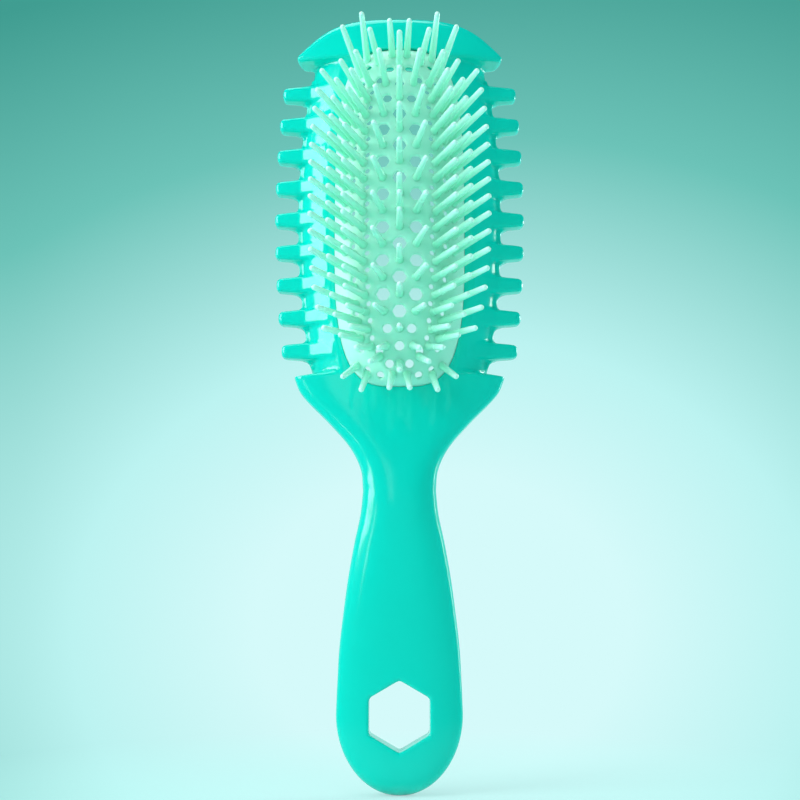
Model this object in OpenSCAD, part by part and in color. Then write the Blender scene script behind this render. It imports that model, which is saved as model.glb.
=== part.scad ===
// A vented detangling brush: a hollow handle with a hexagonal hanging hole, an arched head whose two
// rails carry a comb of side fingers, and a soft perforated pad with fanned pins.
// Seen from the pins' side, X runs across the head, Z up its length and Y from the pins to the back.

/* [Handle] */
// Length from the round end up to the shoulders' top edge
handle_l = 119.5; // [117:0.5:120.5]
// Widest width of the grip
handle_w = 36; // [33:0.5:39]
// Height of the widest place above the round end
widest_z = 22; // [20:0.5:24]
// Thickness of the grip round the hanging hole
grip_t = 10; // [9:0.5:12]
// Width of the neck
neck_w = 21.4; // [19:0.2:24]
// Thickness of the neck
neck_t = 13; // [12:0.5:14]
// How far the neck lies below the shoulders' top edge
neck_below = 34.5; // [32:0.5:38]
// Width across the shoulders' corners
shoulder_w = 63.5; // [62:0.5:65]
// How much the shoulders' top edge rises from the corners to the pad
shoulder_rise = 2.4; // [1.6:0.2:3]
// Wall of the hollow grip
wall = 2.2; // [1.8:0.1:2.6]
// How far the back cover ends below the shoulders' top edge
cover_below = 15.5; // [14.5:0.5:19]

/* [Hanging hole] */
// Width of the hexagon across its flats
hex_flats = 17.1; // [15:0.1:18]
// Height of the hexagon's centre
hex_z = 21.6; // [20:0.2:24]
// Rounding of the hexagon's corners
hex_round = 1.2; // [0.6:0.1:1.6]

/* [Head] */
// Height of the pad's middle above the shoulders' top edge
pad_above = 49.9; // [49:0.1:50.4]
// How far the middle row of pins and vents lies below the pad's middle
lattice_below = 1.2; // [0.6:0.1:1.8]
// Width of the pad
pad_w = 39.4; // [37:0.2:40]
// Length of the pad
pad_l = 106.8; // [105.6:0.4:107.6]
// Width over the rails
rail_w = 63; // [62:0.5:64.5]
// Radius of the rails' outward bow
rail_bow_r = 270; // [240:5:320]
// Height of the arch from the rails' back edge to its crown
arch_h = 14.4; // [13.6:0.2:15]
// Distance of the head's back face behind the handle's middle
head_back = 9.5; // [9:0.1:10]
// Width over the top cap's corners
cap_w = 64.8; // [63:0.2:66.6]
// Height of the top cap above its lower edge
cap_h = 12.9; // [12:0.1:13.4]
// How far the cap's face stands in front of the shoulders' flat face
cap_proud = 2.5; // [1.5:0.1:3]
// Length of the head from the shoulders' top edge to the crown of the cap
head_l = 114.1; // [113.5:0.1:116]
// Thickness from the shoulders' flat face to the back
plate_t = 10.3; // [10:0.1:10.8]

/* [Comb fingers] */
// Number of fingers on each side
finger_count = 9; // [7:1:9]
// Distance from finger to finger
finger_pitch = 10.4; // [10:0.05:10.6]
// Height of the middle finger above the shoulders' top edge
comb_above = 50; // [49:0.1:51]
// Widest width over the finger tips
comb_w = 77.4; // [75.6:0.2:79]
// Radius of the line through the finger tips
comb_bow_r = 380; // [340:5:420]
// Height of a finger at its tip
finger_tip_h = 4; // [3.4:0.1:4.4]
// Height of a finger at its root
finger_root_h = 5.3; // [4.6:0.1:5.6]
// Depth of a finger at its tip
finger_t = 4.8; // [4.2:0.1:5.2]
// How much deeper a finger is where it leaves the arch
finger_fall = 3.2; // [2.4:0.1:3.4]

/* [Pad] */
// Height of the pad's crown above its edge
crown_h = 7.4; // [6.6:0.1:8]
// Radius of the crown across the pad
crown_r = 30; // [28:0.5:34]
// Thickness of the dome
dome_t = 1.6; // [1.4:0.1:1.8]
// How far the pad's edge stands in front of the shoulders' flat face
pad_proud = 0.7; // [0.4:0.1:1]
// How far the dome gives under the scalp
travel = 2.5; // [1.5:0.1:2.6]
// Corner-to-corner size of a vent in the middle columns
vent_d = 4.3; // [3.6:0.1:4.6]
// Diameter of a small vent
small_vent_d = 1.7; // [1.4:0.1:2]

/* [Pins] */
// Length of a pin above the dome
pin_l = 15.5; // [14:0.5:17]
// Diameter of a pin at its root
pin_root_d = 2.2; // [1.9:0.1:2.4]
// Diameter of a pin at its tip
pin_tip_d = 1.6; // [1.3:0.1:1.8]
// Distance from one row of pins to the next row but one
row_pitch = 10.3; // [10:0.05:10.35]
// Extra length of the outermost pins
outer_pin_more = 2.5; // [0:0.5:3]

/* [Hidden] */
teal = [0, 0.88, 0.79];
mint = [0.5, 0.94, 0.81];

// Clearances and overruns
cut_over = 1;        // how far a cut runs past what it cuts
fit_gap = 0.1;       // clearance of a post in its socket
seam_gap = 0.25;     // gap above the back cover
slide_gap = 0.4;     // clearance round the moving dome
join_lap = 1;        // how far joined bodies of one moulding reach into each other

// Handle: shares of the way from place to place, and of the change of width on that way
neck_z = handle_l - neck_below;
cover_top = handle_l - cover_below;
end_flat = 0.12;     // cut off the round end, which leaves a small flat
end_round = 6;       // height over which the end rounds off from front to back
grip_shares = [[0, 0], [0.13, 0.04], [0.29, 0.11], [0.44, 0.25], [0.6, 0.43],
               [0.76, 0.67], [0.89, 0.905], [1, 1]];
flare_shares = [[0, 0], [0.184, 0.034], [0.379, 0.19], [0.583, 0.475], [0.845, 0.885], [1, 1]];
shoulder_in = 15;    // the shoulders' top edge has risen this far inside the corners
square_grip = 2.5;   // power of the grip's cross-section, where 2 is an ellipse
square_top = 4.6;    // the same at the shoulders
end_steps = 8;
grip_steps = 12;
flare_steps = 5;      // from the neck to the cover's top, and again from there to the shoulders
side_steps = 14;     // facets round half a cross-section
cavity_from = 4;     // the hollow starts this far above the round end
post_d = 4;
post_count = 3;
post_first_z = hex_z + hex_flats * 1.6;
post_last_z = cover_top - wall - post_d;
post_zs = [
    for (i = [0 : post_count - 1]) post_first_z + (post_last_z - post_first_z) * i / (post_count - 1)
];
post_reach = 3;      // how far a post stands into the front half
socket_wall = 1.4;

// Heights of the head's pieces above the round end of the handle
brush_l = handle_l + head_l;
pad_z = handle_l + pad_above;
lattice_z = pad_z - lattice_below;
finger_mid_z = handle_l + comb_above;

// Pad and its seat
pad_power = 3.5;     // power of the pad's outline, where 2 is an ellipse
pad_a = pad_w / 2;
pad_b = pad_l / 2;
face_y = head_back - plate_t;      // the shoulders' flat face
edge_y = face_y - pad_proud;       // the pad's edge
apex_y = edge_y - crown_h;
rim_t = 0.1;                       // the dome's rim runs straight this far behind the pad's edge
dome_base_y = edge_y + rim_t;
lip_t = 2.8;                       // thickness of the frame's lip over the flange
lip_back = face_y + lip_t;
flange_t = 1.4;
flange_out = 2.8;                  // the flange's reach beyond the pad's edge
skirt_in = 0.5;                    // the skirt lies this far inside the pad's edge
skirt_t = 1;
ring_t = 2.4;                      // thickness of the retaining ring
ring_in = 4.5;                     // the ring's reach inside the pad's edge
pocket_gap = 0.15;                 // clearance round the flange and the ring
lug_w = 7;
lug_out = 0.8;
lug_t = 1.2;
lug_shares = [-0.3, 0, 0.3];       // places of the lugs, as shares of the pad's length
outline_steps = 72;
dome_rings = 9;
dome_sides = 56;

// Head
rail_mid_z = finger_mid_z + 2.5;   // height of the rails' widest place
comb_mid_z = finger_mid_z + 4.5;   // height of the widest place over the finger tips
rail_a = rail_w / 2;
comb_a = comb_w / 2;
cap_edge_z = brush_l - cap_h;
cap_a = cap_w / 2;
cap_power = 3.8;                   // power of the cap's top edge, where 2 is a parabola
cap_drop_share = 0.9;              // the top edge falls by this share of the cap's height
cap_corner_r = 2.4;                // the corners' rounding across
cap_low_r = 1.1;                   // and along the brush
cap_round_r = 3;                   // rounding of the cap's upper front edge
cap_edge_r = 0.8;                  // rounding of its other edges
cap_crown_r = 112;
cap_steps = 22;
arc_steps = 4;
rail_in_share = 0.5;               // the rails reach inward to this share of their half width
rail_step = 0.1;                   // the rails' flat lip lies this far behind the shoulders' face
rail_end = 3;                      // how far the rails run into the shoulders and the cap
finger_back = 0.7;                 // fingers stop this far in front of the head's back face
finger_nose_r = 1.1;               // rounding of a finger's tip from front to back
finger_corner_r = 1.3;             // rounding of its two corners, seen from the front
finger_in = 8;                     // how far a finger runs into its rail
finger_rise_in = 6.5;              // its front leaves the arch this far inside the rail's outer edge
finger_bend_in = 0.5;              // and turns outward, nearly flat, this far inside it
finger_bend_t = 0.6;               // a finger is this much deeper there than at its tip
web_t = 3.2;                       // depth of the web that rounds off the gaps' corners
web_fillet = 1.5;

// Pins and vents: shares of the pad's half width, and rows counted in row_pitch from the middle
column_shares = [0.259, 0.553, 0.706, 0.835];
column_up_leans = [0, 1.5, 4.5, 6.7];        // the outer columns also lean up towards the cap
column_drop_shares = [0, 0, 0, 0.13];        // and stand this share of row_pitch lower
column_power = 2.9;                // the columns bow more than the pad's outline
pin_sink = 0.9;
end_lean_angle = 24;               // lean of the pins towards the pad's ends, at its very edge
lean_power = 2.2;                  // how late that lean sets in
end_straight_share = 0.45;         // share of their sideways lean that the end pins lose
straight_power = 6;
round_vent_shares = [0.505, 0.716];
hex_vent_share = 0.264;
end_hex_share = 0.215;             // the same for the last row of hexagons
end_vent_share = 0.72;             // size of the last vents beside the others
// End pins: the share of the pad's widest half width, the row, the lean towards the end, the lean to
// the side, and the share of the outermost pins' extra length
top_pin_shares = [[0.112, 4.98, 15, 2.9, 0], [0.325, 4.72, 14, 9.6, 0], [0.508, 4.9, 23, 4.5, 1],
                  [0.61, 4.4, 28, 18.9, 1]];
bottom_pin_shares = [[0.112, 4.8, 25, 2.9, 0], [0.492, 4.78, 26.8, 4.8, 0], [0.64, 4.5, 22.9, 14.6, 0],
                     [0.3, 4.3, 16.9, 9.4, 0]];
// End vents: the share of the pad's widest half width, the row, and the size beside the small vents
end_vent_shares = [[0.307, 4.13, 1.4], [0.152, 4.5, 1.5], [0.58, 4.05, 1.1], [0.29, 4.8, 1.3],
                   [0.485, 4.62, 1.1]];

// The brush's own frame has its middle depth at zero
front_reach = pin_l - apex_y;
depth_shift = (front_reach - head_back) / 2;

// A smooth line through the points of a table, at u
function knot_slope(t, i) =
    let (a = max(i - 1, 0), b = min(i + 1, len(t) - 1)) (t[b][1] - t[a][1]) / (t[b][0] - t[a][0]);
function knot_span(t, u, i = 0) = i >= len(t) - 2 || u < t[i + 1][0] ? i : knot_span(t, u, i + 1);
function through(t, u) =
    let (
        i = knot_span(t, u),
        w = t[i + 1][0] - t[i][0],
        s = (u - t[i][0]) / w,
        a = t[i][1], b = t[i + 1][1],
        p = knot_slope(t, i) * w, q = knot_slope(t, i + 1) * w
    ) a + p * s + (3 * (b - a) - 2 * p - q) * s * s + (2 * (a - b) + p + q) * s * s * s;
function ease(u) = let (s = min(max(u, 0), 1)) s * s * (3 - 2 * s);
function power_of(v, e) = sign(v) * pow(abs(v), e);

// Half width, half thickness, middle depth and squareness of the handle at height z
function half_w(z) =
    z <= widest_z ? handle_w / 2 * sqrt(1 - pow((widest_z - z) / (widest_z + end_flat), 2))
    : z <= neck_z
        ? handle_w / 2 - (handle_w - neck_w) / 2 * through(grip_shares, (z - widest_z) / (neck_z - widest_z))
    : z <= handle_l
        ? neck_w / 2 + (shoulder_w - neck_w) / 2 * through(flare_shares, (z - neck_z) / (handle_l - neck_z))
        : shoulder_w / 2 - shoulder_in * (z - handle_l) / shoulder_rise;
function flare_share(z) = ease((z - neck_z + end_round) / (handle_l - neck_z + end_round));
function half_t(z) =
    z < end_round ? grip_t / 2 * sqrt(1 - pow((end_round - z) / (end_round + end_flat), 2))
    : grip_t / 2 + (neck_t - grip_t) / 2 * ease((z - widest_z) / (neck_z - widest_z))
        + (plate_t - neck_t) / 2 * flare_share(z);
function mid_y(z) = (head_back - plate_t / 2) * flare_share(z);
function squareness(z) = square_grip + (square_top - square_grip) * flare_share(z);

// Heights of the handle's cross-sections
handle_zs = [
    for (i = [0 : end_steps - 1]) widest_z * (1 - cos(i * 90 / end_steps)),
    for (i = [0 : grip_steps - 1]) widest_z + (neck_z - widest_z) * i / grip_steps,
    for (i = [0 : flare_steps - 1]) neck_z + (cover_top - neck_z) * i / flare_steps,
    for (i = [0 : flare_steps]) cover_top + (handle_l - cover_top) * i / flare_steps,
    handle_l + shoulder_rise
];
function between(zs, low, high) = [low, for (z = zs) if (z > low + end_flat && z < high - end_flat) z, high];

// Points of a cross-section from one angle to another, inset from the skin
function section(z, inset, from, to, steps) = [
    for (i = [0 : steps])
        let (a = from + (to - from) * i / steps, e = 2 / squareness(z))
        [
            (half_w(z) - inset) * power_of(cos(a), e),
            mid_y(z) + (half_t(z) - inset) * power_of(sin(a), e),
            z
        ]
];

// A closed body through rings of equal length
module loft(rings) {
    n = len(rings[0]);
    m = len(rings);
    polyhedron(
        points = [for (r = rings) each r],
        faces = [
            [for (j = [0 : n - 1]) j],
            [for (j = [n - 1 : -1 : 0]) (m - 1) * n + j],
            for (i = [0 : m - 2], j = [0 : n - 1])
                let (k = (j + 1) % n) each [
                    [i * n + j, (i + 1) * n + j, (i + 1) * n + k],
                    [i * n + j, (i + 1) * n + k, i * n + k]
                ]
        ],
        convexity = 6
    );
}

// What is drawn in the plane of X and Z, given depth from one Y to another
module along_y(from, to) {
    translate([0, to, 0]) rotate([90, 0, 0]) linear_extrude(height = to - from) children();
}

// The pad's outline, grown by a distance, and its half width at a height from its middle
function pad_outline(grow) = [
    for (i = [0 : outline_steps - 1])
        let (a = 360 * i / outline_steps, e = 2 / pad_power)
        [(pad_a + grow) * power_of(cos(a), e), pad_z + (pad_b + grow) * power_of(sin(a), e)]
];
function bow(h, power) = pad_a * pow(1 - pow(min(abs(h) / pad_b, 1), power), 1 / power);
function pad_half_w(h) = bow(h, pad_power);

// The dome's skin: how far the crown rises above the edge at a share of the half width and a height
crown_drop = crown_r - sqrt(crown_r * crown_r - pad_a * pad_a);
function crown_share(u) =
    (sqrt(crown_r * crown_r - pow(u * pad_a, 2)) - crown_r + crown_drop) / crown_drop;
function end_share(h) = sqrt(1 - pow(min(abs(h) / pad_b, 1), pad_power));
function column_x(u, row) = u * bow(row_h(row), column_power);
function skin_point(x, h) =
    [x, edge_y - crown_h * crown_share(x / pad_half_w(h)) * end_share(h), pad_z + h];
function unit(v) = v / norm(v);
skin_step = 0.01;
function skin_normal(x, h) =
    unit(cross(skin_point(x + skin_step, h) - skin_point(x - skin_step, h),
               skin_point(x, h + skin_step) - skin_point(x, h - skin_step)));
function row_h(row) = lattice_z - pad_z + row * row_pitch;  // height of a row from the pad's middle

// Carries what is drawn along Z at the origin onto the skin at a place across and a row, square to the skin
module on_skin(x, row) {
    n = skin_normal(x, row_h(row));
    translate(skin_point(x, row_h(row))) rotate([0, acos(n[2]), atan2(n[1], n[0])]) children();
}

module handle_half(from, to, z_from, z_to) {
    loft([for (z = between(handle_zs, z_from, z_to)) section(z, 0, from, to, side_steps)]);
}

module handle_hollow() {
    loft([
        for (z = between(handle_zs, cavity_from, cover_top - wall))
            [for (p = section(z, wall, 0, 360, 2 * side_steps)) p]
    ]);
}

// Regular hexagon with points up and down, and rounded corners
module hexagon(flats, round_r) {
    side = flats / sqrt(3);
    inner = side - round_r * 2 / sqrt(3);
    polygon([
        for (c = [0 : 5], s = [-1 : 1])
            let (a = 90 + 60 * c, b = a + 30 * s)
            [inner * cos(a) + round_r * cos(b), hex_z + inner * sin(a) + round_r * sin(b)]
    ]);
}

module hang_hole(grow) {
    along_y(-neck_t, neck_t) hexagon(hex_flats + 2 * grow, hex_round);
}

module grip_cavity() {
    difference() {
        handle_hollow();
        hang_hole(wall);
    }
}

// One rail: the arch's side swept round the rails' bow, with a flat lip beside the pad
module rail(side) {
    low_angle = asin((rail_mid_z - handle_l + rail_end) / rail_bow_r);
    high_angle = asin((cap_edge_z - rail_mid_z + rail_end) / rail_bow_r);
    turn_r = rail_bow_r - rail_a;
    lip_y = face_y + rail_step;
    from = acos((head_back - lip_y) / arch_h);
    mirror([side < 0 ? 1 : 0, 0, 0])
        translate([-turn_r, 0, rail_mid_z])
            rotate([90, 0, 0])
                rotate_extrude(angle = low_angle + high_angle, start = -low_angle)
                    polygon([
                        [turn_r + rail_a * rail_in_share, -lip_y],
                        for (i = [0 : side_steps])
                            let (a = from + (90 - from) * i / side_steps)
                            [turn_r + rail_a * sin(a), arch_h * cos(a) - head_back],
                        [turn_r + rail_a * rail_in_share, -head_back]
                    ]);
}

// Where the line through the tips and the rails' outer edge lie at height z
function tip_x(z) = comb_a - pow(z - comb_mid_z, 2) / (2 * comb_bow_r);
function rail_x(z) = rail_a - pow(z - rail_mid_z, 2) / (2 * rail_bow_r);

// A quarter round with its middle at [a, b], as points from one angle on
function quarter(a, b, r, from) =
    [for (i = [0 : arc_steps]) let (t = from + 90 * i / arc_steps) [a + r * cos(t), b + r * sin(t)]];

// One finger of the comb at height z, on the side of +X
module finger(z) {
    tip = tip_x(z);
    root = rail_x(z);
    tip_half = finger_tip_h / 2;
    root_half = finger_root_h / 2;
    back = head_back - finger_back;
    front = back - finger_t;
    nose = finger_nose_r;
    corner = finger_corner_r;
    intersection() {
        along_y(front - finger_fall, back)
            polygon(concat(
                [[root - finger_in, z + root_half], [root - finger_in, z - root_half], [root, z - root_half]],
                quarter(tip - corner, z - tip_half + corner, corner, -90),
                quarter(tip - corner, z + tip_half - corner, corner, 0),
                [[root, z + root_half]]
            ));
        translate([0, 0, z - finger_pitch / 2]) linear_extrude(height = finger_pitch)
            polygon(concat(
                [
                    [root - finger_in - join_lap, back],
                    [root - finger_in - join_lap, front - finger_fall],
                    [root - finger_rise_in, front - finger_fall],
                    [root - finger_bend_in, front - finger_bend_t]
                ],
                quarter(tip - nose, front + nose, nose, -90),
                quarter(tip - nose, back - nose, nose, 0)
            ));
    }
    // The web, which rounds off the corners of the gaps above and below
    along_y(back - web_t, back)
        polygon(concat(
            [[root - finger_in, z - finger_pitch / 2], [root, z - finger_pitch / 2]],
            web_corner(root, z, -1), web_corner(root, z, 1),
            [[root, z + finger_pitch / 2], [root - finger_in, z + finger_pitch / 2]]
        ));
}

// Points of the web's fillet below or above a finger, going up
function web_corner(root, z, way) = [
    for (i = [0 : arc_steps])
        let (t = 90 * (way < 0 ? i : arc_steps - i) / arc_steps)
        [
            root + web_fillet - web_fillet * cos(t),
            z + way * (finger_root_h / 2 + web_fillet - web_fillet * sin(t))
        ]
];

module comb(side) {
    mirror([side < 0 ? 1 : 0, 0, 0])
        for (i = [0 : finger_count - 1])
            finger(finger_mid_z + (i - (finger_count - 1) / 2) * finger_pitch);
}

// The domed cap that closes the head's top, lofted across from corner to corner
function cap_top(x) = brush_l - cap_h * cap_drop_share * pow(min(abs(x) / cap_a, 1), cap_power);
function cap_low(x) =
    let (over = max(abs(x) - cap_a + cap_corner_r, 0))
    cap_edge_z + cap_low_r - sqrt(max(pow(cap_low_r, 2) - pow(over * cap_low_r / cap_corner_r, 2), 0));
function cap_front(x) = face_y - cap_proud + cap_crown_r - sqrt(pow(cap_crown_r, 2) - x * x);
function cap_ring(x) =
    let (
        top = cap_top(x), low = cap_low(x), front = cap_front(x),
        big = min(cap_round_r, (top - low) / 2.1), small = min(cap_edge_r, (top - low) / 2.1)
    )
    [for (p = concat(
        quarter(front + small, low + small, small, 180), quarter(head_back - small, low + small, small, 270),
        quarter(head_back - small, top - small, small, 0), quarter(front + big, top - big, big, 90)
    )) [x, p[0], p[1]]];
module top_cap() {
    loft([
        for (i = [-cap_steps : cap_steps])
            let (s = i / cap_steps) cap_ring((cap_a - end_flat) * sin(90 * s))
    ]);
}

// The full depth of the shoulders, above the back cover
module shoulder_block() {
    zs = between(handle_zs, cover_top + seam_gap, handle_l + shoulder_rise);
    loft([
        for (z = zs)
            concat(
                section(z, 0, 0, 180, side_steps),
                [for (s = [-1, 1]) [s * (half_w(z) - join_lap), mid_y(z) - join_lap, z]]
            )
    ]);
}

// The opening for the pad and, behind the lip, the pocket for the flange and the retaining ring
module pad_seat() {
    along_y(apex_y, head_back + cut_over) polygon(pad_outline(slide_gap));
    along_y(lip_back, head_back + cut_over) polygon(pad_outline(flange_out + pocket_gap));
}

ring_front = lip_back + flange_t;
module ring_lugs(grow) {
    for (s = [-1, 1], share = lug_shares)
        let (z = share * pad_l)
        translate([
            s * (pad_half_w(z) + flange_out - join_lap / 2),
            ring_front + ring_t / 2,
            pad_z + z
        ])
            cube([join_lap + 2 * lug_out + 2 * grow, lug_t + 2 * grow, lug_w + 2 * grow], center = true);
}

module front_shell() {
    color(teal) union() {
        difference() {
            union() {
                handle_half(180, 360, 0, handle_l + shoulder_rise);
                shoulder_block();
                for (s = [-1, 1]) {
                    rail(s);
                    comb(s);
                }
                top_cap();
            }
            grip_cavity();
            hang_hole(0);
            pad_seat();
            ring_lugs(pocket_gap);
        }
        for (z = post_zs) translate([0, mid_y(z), z]) rotate([90, 0, 0]) difference() {
            cylinder(d = post_d + 2 * (fit_gap + socket_wall), h = half_t(z) - wall / 2, $fn = 32);
            translate([0, 0, -cut_over])
                cylinder(d = post_d + 2 * fit_gap, h = post_reach + 2 * cut_over, $fn = 32);
        }
    }
}

module back_cover() {
    color(teal) union() {
        difference() {
            handle_half(0, 180, 0, cover_top);
            grip_cavity();
            hang_hole(0);
        }
        for (z = post_zs)
            translate([0, mid_y(z) - post_reach, z]) rotate([-90, 0, 0])
                cylinder(d = post_d, h = post_reach + half_t(z) - wall / 2, $fn = 32);
    }
}

module pad_retainer() {
    color(teal) {
        difference() {
            along_y(ring_front, ring_front + ring_t) polygon(pad_outline(flange_out));
            along_y(ring_front - cut_over, ring_front + ring_t + cut_over) polygon(pad_outline(-ring_in));
        }
        ring_lugs(0);
    }
}

module pad_skirt() {
    color(mint) difference() {
        union() {
            along_y(dome_base_y, lip_back) polygon(pad_outline(-skirt_in));
            along_y(lip_back, ring_front) polygon(pad_outline(flange_out));
        }
        along_y(dome_base_y - cut_over, ring_front + cut_over) polygon(pad_outline(-skirt_in - skirt_t));
    }
}

// The dome as a grid: rings of shares of the half width and half length, the same inside and out
module dome_body(drop, shrink, base_y) {
    shares = [for (i = [1 : dome_rings]) sin(90 * i / dome_rings)];
    e = 2 / pad_power;
    points = [
        for (r = shares, j = [0 : dome_sides - 1])
            let (
                a = 360 * j / dome_sides,
                h = r * pad_b * power_of(sin(a), e),
                x = r * pad_a * power_of(cos(a), e),
                w = pad_half_w(h),
                u = w > 0 ? min(max(x / w, -1), 1) : 0,
                rise = crown_h * crown_share(u) * end_share(h)
            )
            [
                x * (pad_a - shrink) / pad_a,
                edge_y - rise * (crown_h - drop) / crown_h,
                pad_z + h * (pad_b - shrink) / pad_b
            ]
    ];
    n = dome_sides;
    m = dome_rings;
    last = (m - 1) * n;
    polyhedron(
        points = concat(points, [[0, edge_y - crown_h + drop, pad_z]],
            [for (j = [0 : n - 1]) [points[last + j][0], base_y, points[last + j][2]]]),
        faces = [
            for (j = [0 : n - 1]) [n * m, (j + 1) % n, j],
            for (i = [0 : m - 2], j = [0 : n - 1])
                let (k = (j + 1) % n) each [
                    [i * n + j, (i + 1) * n + k, (i + 1) * n + j],
                    [i * n + j, i * n + k, (i + 1) * n + k]
                ],
            for (j = [0 : n - 1])
                let (k = (j + 1) % n) each [
                    [last + j, n * m + 1 + k, n * m + 1 + j],
                    [last + j, last + k, n * m + 1 + k]
                ],
            [for (j = [0 : n - 1]) n * m + 1 + j]
        ],
        convexity = 6
    );
}

// Vents: hexagons in three middle columns, two columns of small round ones on each side, and the ends
module vents() {
    for (k = [-2.5 : 1 : 2.5], s = [-1, 1]) hex_vent(s * hex_vent_share, k, vent_d);
    for (k = [-3 : 1 : 3]) if (k != 0) hex_vent(0, k, vent_d);
    for (k = [-3.5, 3.5], s = [-1, 1]) hex_vent(s * end_hex_share, k, vent_d * end_vent_share);
    for (k = [-4, 4]) hex_vent(0, k, vent_d * end_vent_share);
    for (s = [-1, 1]) {
        for (k = [-3.75 : 0.5 : 3.75]) round_vent(column_x(s * round_vent_shares[0], k), k, small_vent_d);
        for (k = [-3 : 1 : 3]) round_vent(column_x(s * round_vent_shares[1], k), k, small_vent_d);
        for (v = end_vent_shares, t = [-1, 1]) round_vent(s * v[0] * pad_a, t * v[1], small_vent_d * v[2]);
    }
}

module hex_vent(u, row, size) {
    on_skin(column_x(u, row), row)
        translate([0, 0, -2 * dome_t]) rotate([0, 0, 90]) cylinder(d = size, h = 3 * dome_t, $fn = 6);
}

module round_vent(x, row, size) {
    on_skin(x, row) translate([0, 0, -2 * dome_t]) cylinder(d = size, h = 3 * dome_t, $fn = 12);
}

module pad_dome() {
    color(mint) difference() {
        dome_body(0, 0, dome_base_y);
        dome_body(dome_t, dome_t, edge_y + cut_over);
        vents();
    }
}

// One pin on the dome: a tapered shank with a round tip. It leans sideways as the crown's radius does,
// and towards the nearer end of the pad.
function end_way(row, power) = pow(min(abs(row_h(row)) / pad_b, 1), power);
function side_lean(x, row) = asin(x / crown_r) * (1 - end_straight_share * end_way(row, straight_power));
function long_lean(row) = sign(row) * end_lean_angle * end_way(row, lean_power);
module pin(x, row, length = pin_l, up_lean = 0) {
    leaning_pin(x, row, length, long_lean(row) + up_lean, side_lean(x, row));
}
module leaning_pin(x, row, length, lean, side) {
    translate(skin_point(x, row_h(row))) rotate([90 - lean, 0, side]) {
        translate([0, 0, -pin_sink])
            cylinder(d1 = pin_root_d, d2 = pin_tip_d, h = pin_sink + length - pin_tip_d / 2, $fn = 24);
        translate([0, 0, length - pin_tip_d / 2]) sphere(d = pin_tip_d, $fn = 24);
    }
}

// Rows of pins in each column, counted in row_pitch from the lattice's middle
column_rows = [
    [for (k = [-4 : 1 : 4]) k],
    [for (k = [-4 : 0.5 : 4]) k],
    [for (k = [-3.75 : 0.5 : 3.75]) k],
    [for (k = [-3.5 : 0.5 : 3.5]) k]
];

module pins_centre() {
    color(mint) {
        for (k = [-4.5 : 1 : 4.5]) pin(0, k);
        pin(0, 0);
    }
}

module pin_column(side, i) {
    color(mint)
        for (k = column_rows[i])
            pin(column_x(side * column_shares[i], k - column_drop_shares[i]), k - column_drop_shares[i],
                pin_l + (i == len(column_shares) - 1 ? outer_pin_more : 0), column_up_leans[i]);
}

module end_pins(side, shares) {
    color(mint) for (p = shares, s = [-1, 1])
        leaning_pin(s * p[0] * pad_a, side * p[1], pin_l + p[4] * outer_pin_more, side * p[2], s * p[3]);
}

translate([0, depth_shift, 0]) {
    front_shell();
    back_cover();
    pad_retainer();
    pad_skirt();
    pad_dome();
    pins_centre();
    for (i = [0 : len(column_shares) - 1]) {
        pin_column(-1, i);
        pin_column(1, i);
    }
    end_pins(1, top_pin_shares);  // pins_top
    end_pins(-1, bottom_pin_shares);  // pins_bottom
}
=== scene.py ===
"""Looks of a vented detangling brush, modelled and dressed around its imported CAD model.

The brush stands on the round end of its handle, with its pins towards -Y. All shapes are drawn in
millimetres, measured from the middle of the handle's depth, and are carried into the row frame in metres
when a piece is finished.
"""

from __future__ import annotations

import logging
import math
from collections.abc import Callable, Sequence
from dataclasses import dataclass, field, replace
from enum import Enum

import bpy
from mathutils import Matrix, Vector

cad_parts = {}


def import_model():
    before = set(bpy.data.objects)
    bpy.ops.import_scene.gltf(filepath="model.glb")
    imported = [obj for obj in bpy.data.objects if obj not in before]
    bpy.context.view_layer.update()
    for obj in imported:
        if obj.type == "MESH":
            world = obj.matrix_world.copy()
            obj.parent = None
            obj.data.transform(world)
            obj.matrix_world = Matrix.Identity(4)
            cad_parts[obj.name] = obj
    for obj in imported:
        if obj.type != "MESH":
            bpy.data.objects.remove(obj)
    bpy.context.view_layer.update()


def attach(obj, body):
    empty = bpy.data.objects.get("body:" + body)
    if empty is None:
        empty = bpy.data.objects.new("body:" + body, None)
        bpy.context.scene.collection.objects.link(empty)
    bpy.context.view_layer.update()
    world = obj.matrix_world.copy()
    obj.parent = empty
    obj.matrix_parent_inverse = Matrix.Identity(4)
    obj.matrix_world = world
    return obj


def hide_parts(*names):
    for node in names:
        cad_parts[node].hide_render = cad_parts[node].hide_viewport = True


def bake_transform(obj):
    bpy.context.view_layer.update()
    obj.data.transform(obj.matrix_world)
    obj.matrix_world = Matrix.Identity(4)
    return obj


LOG = logging.getLogger("brush")
PIN_HEIGHT = "pin_height"
FULL_TURN = 2 * math.pi
MM = 0.001
# Millimetres from the middle of the handle's depth to the row frame's origin
DEPTH_SHIFT = 7.45
# Points nearer to each other than this, in millimetres, are one point
WELD = 0.001

Point = tuple[float, float, float]
Pair = tuple[float, float]
Ring = list[Point]
Object = bpy.types.Object


class Side(Enum):
    """The two sides of the brush, seen from the pins."""

    LEFT = -1
    RIGHT = 1


class Cut(Enum):
    """What a cutting body does to the piece it is held against."""

    REMOVE = "DIFFERENCE"
    KEEP = "INTERSECT"


class End(Enum):
    """The two ends of the pad."""

    BOTTOM = -1
    TOP = 1


class VentKind(Enum):
    """The kinds of vent in the pad, each with its width, its number of sides and its turn in degrees."""

    WIDE = (4.3, 6, 0)
    END = (3.096, 6, 0)
    SMALL = (1.7, 20, 9)


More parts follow.
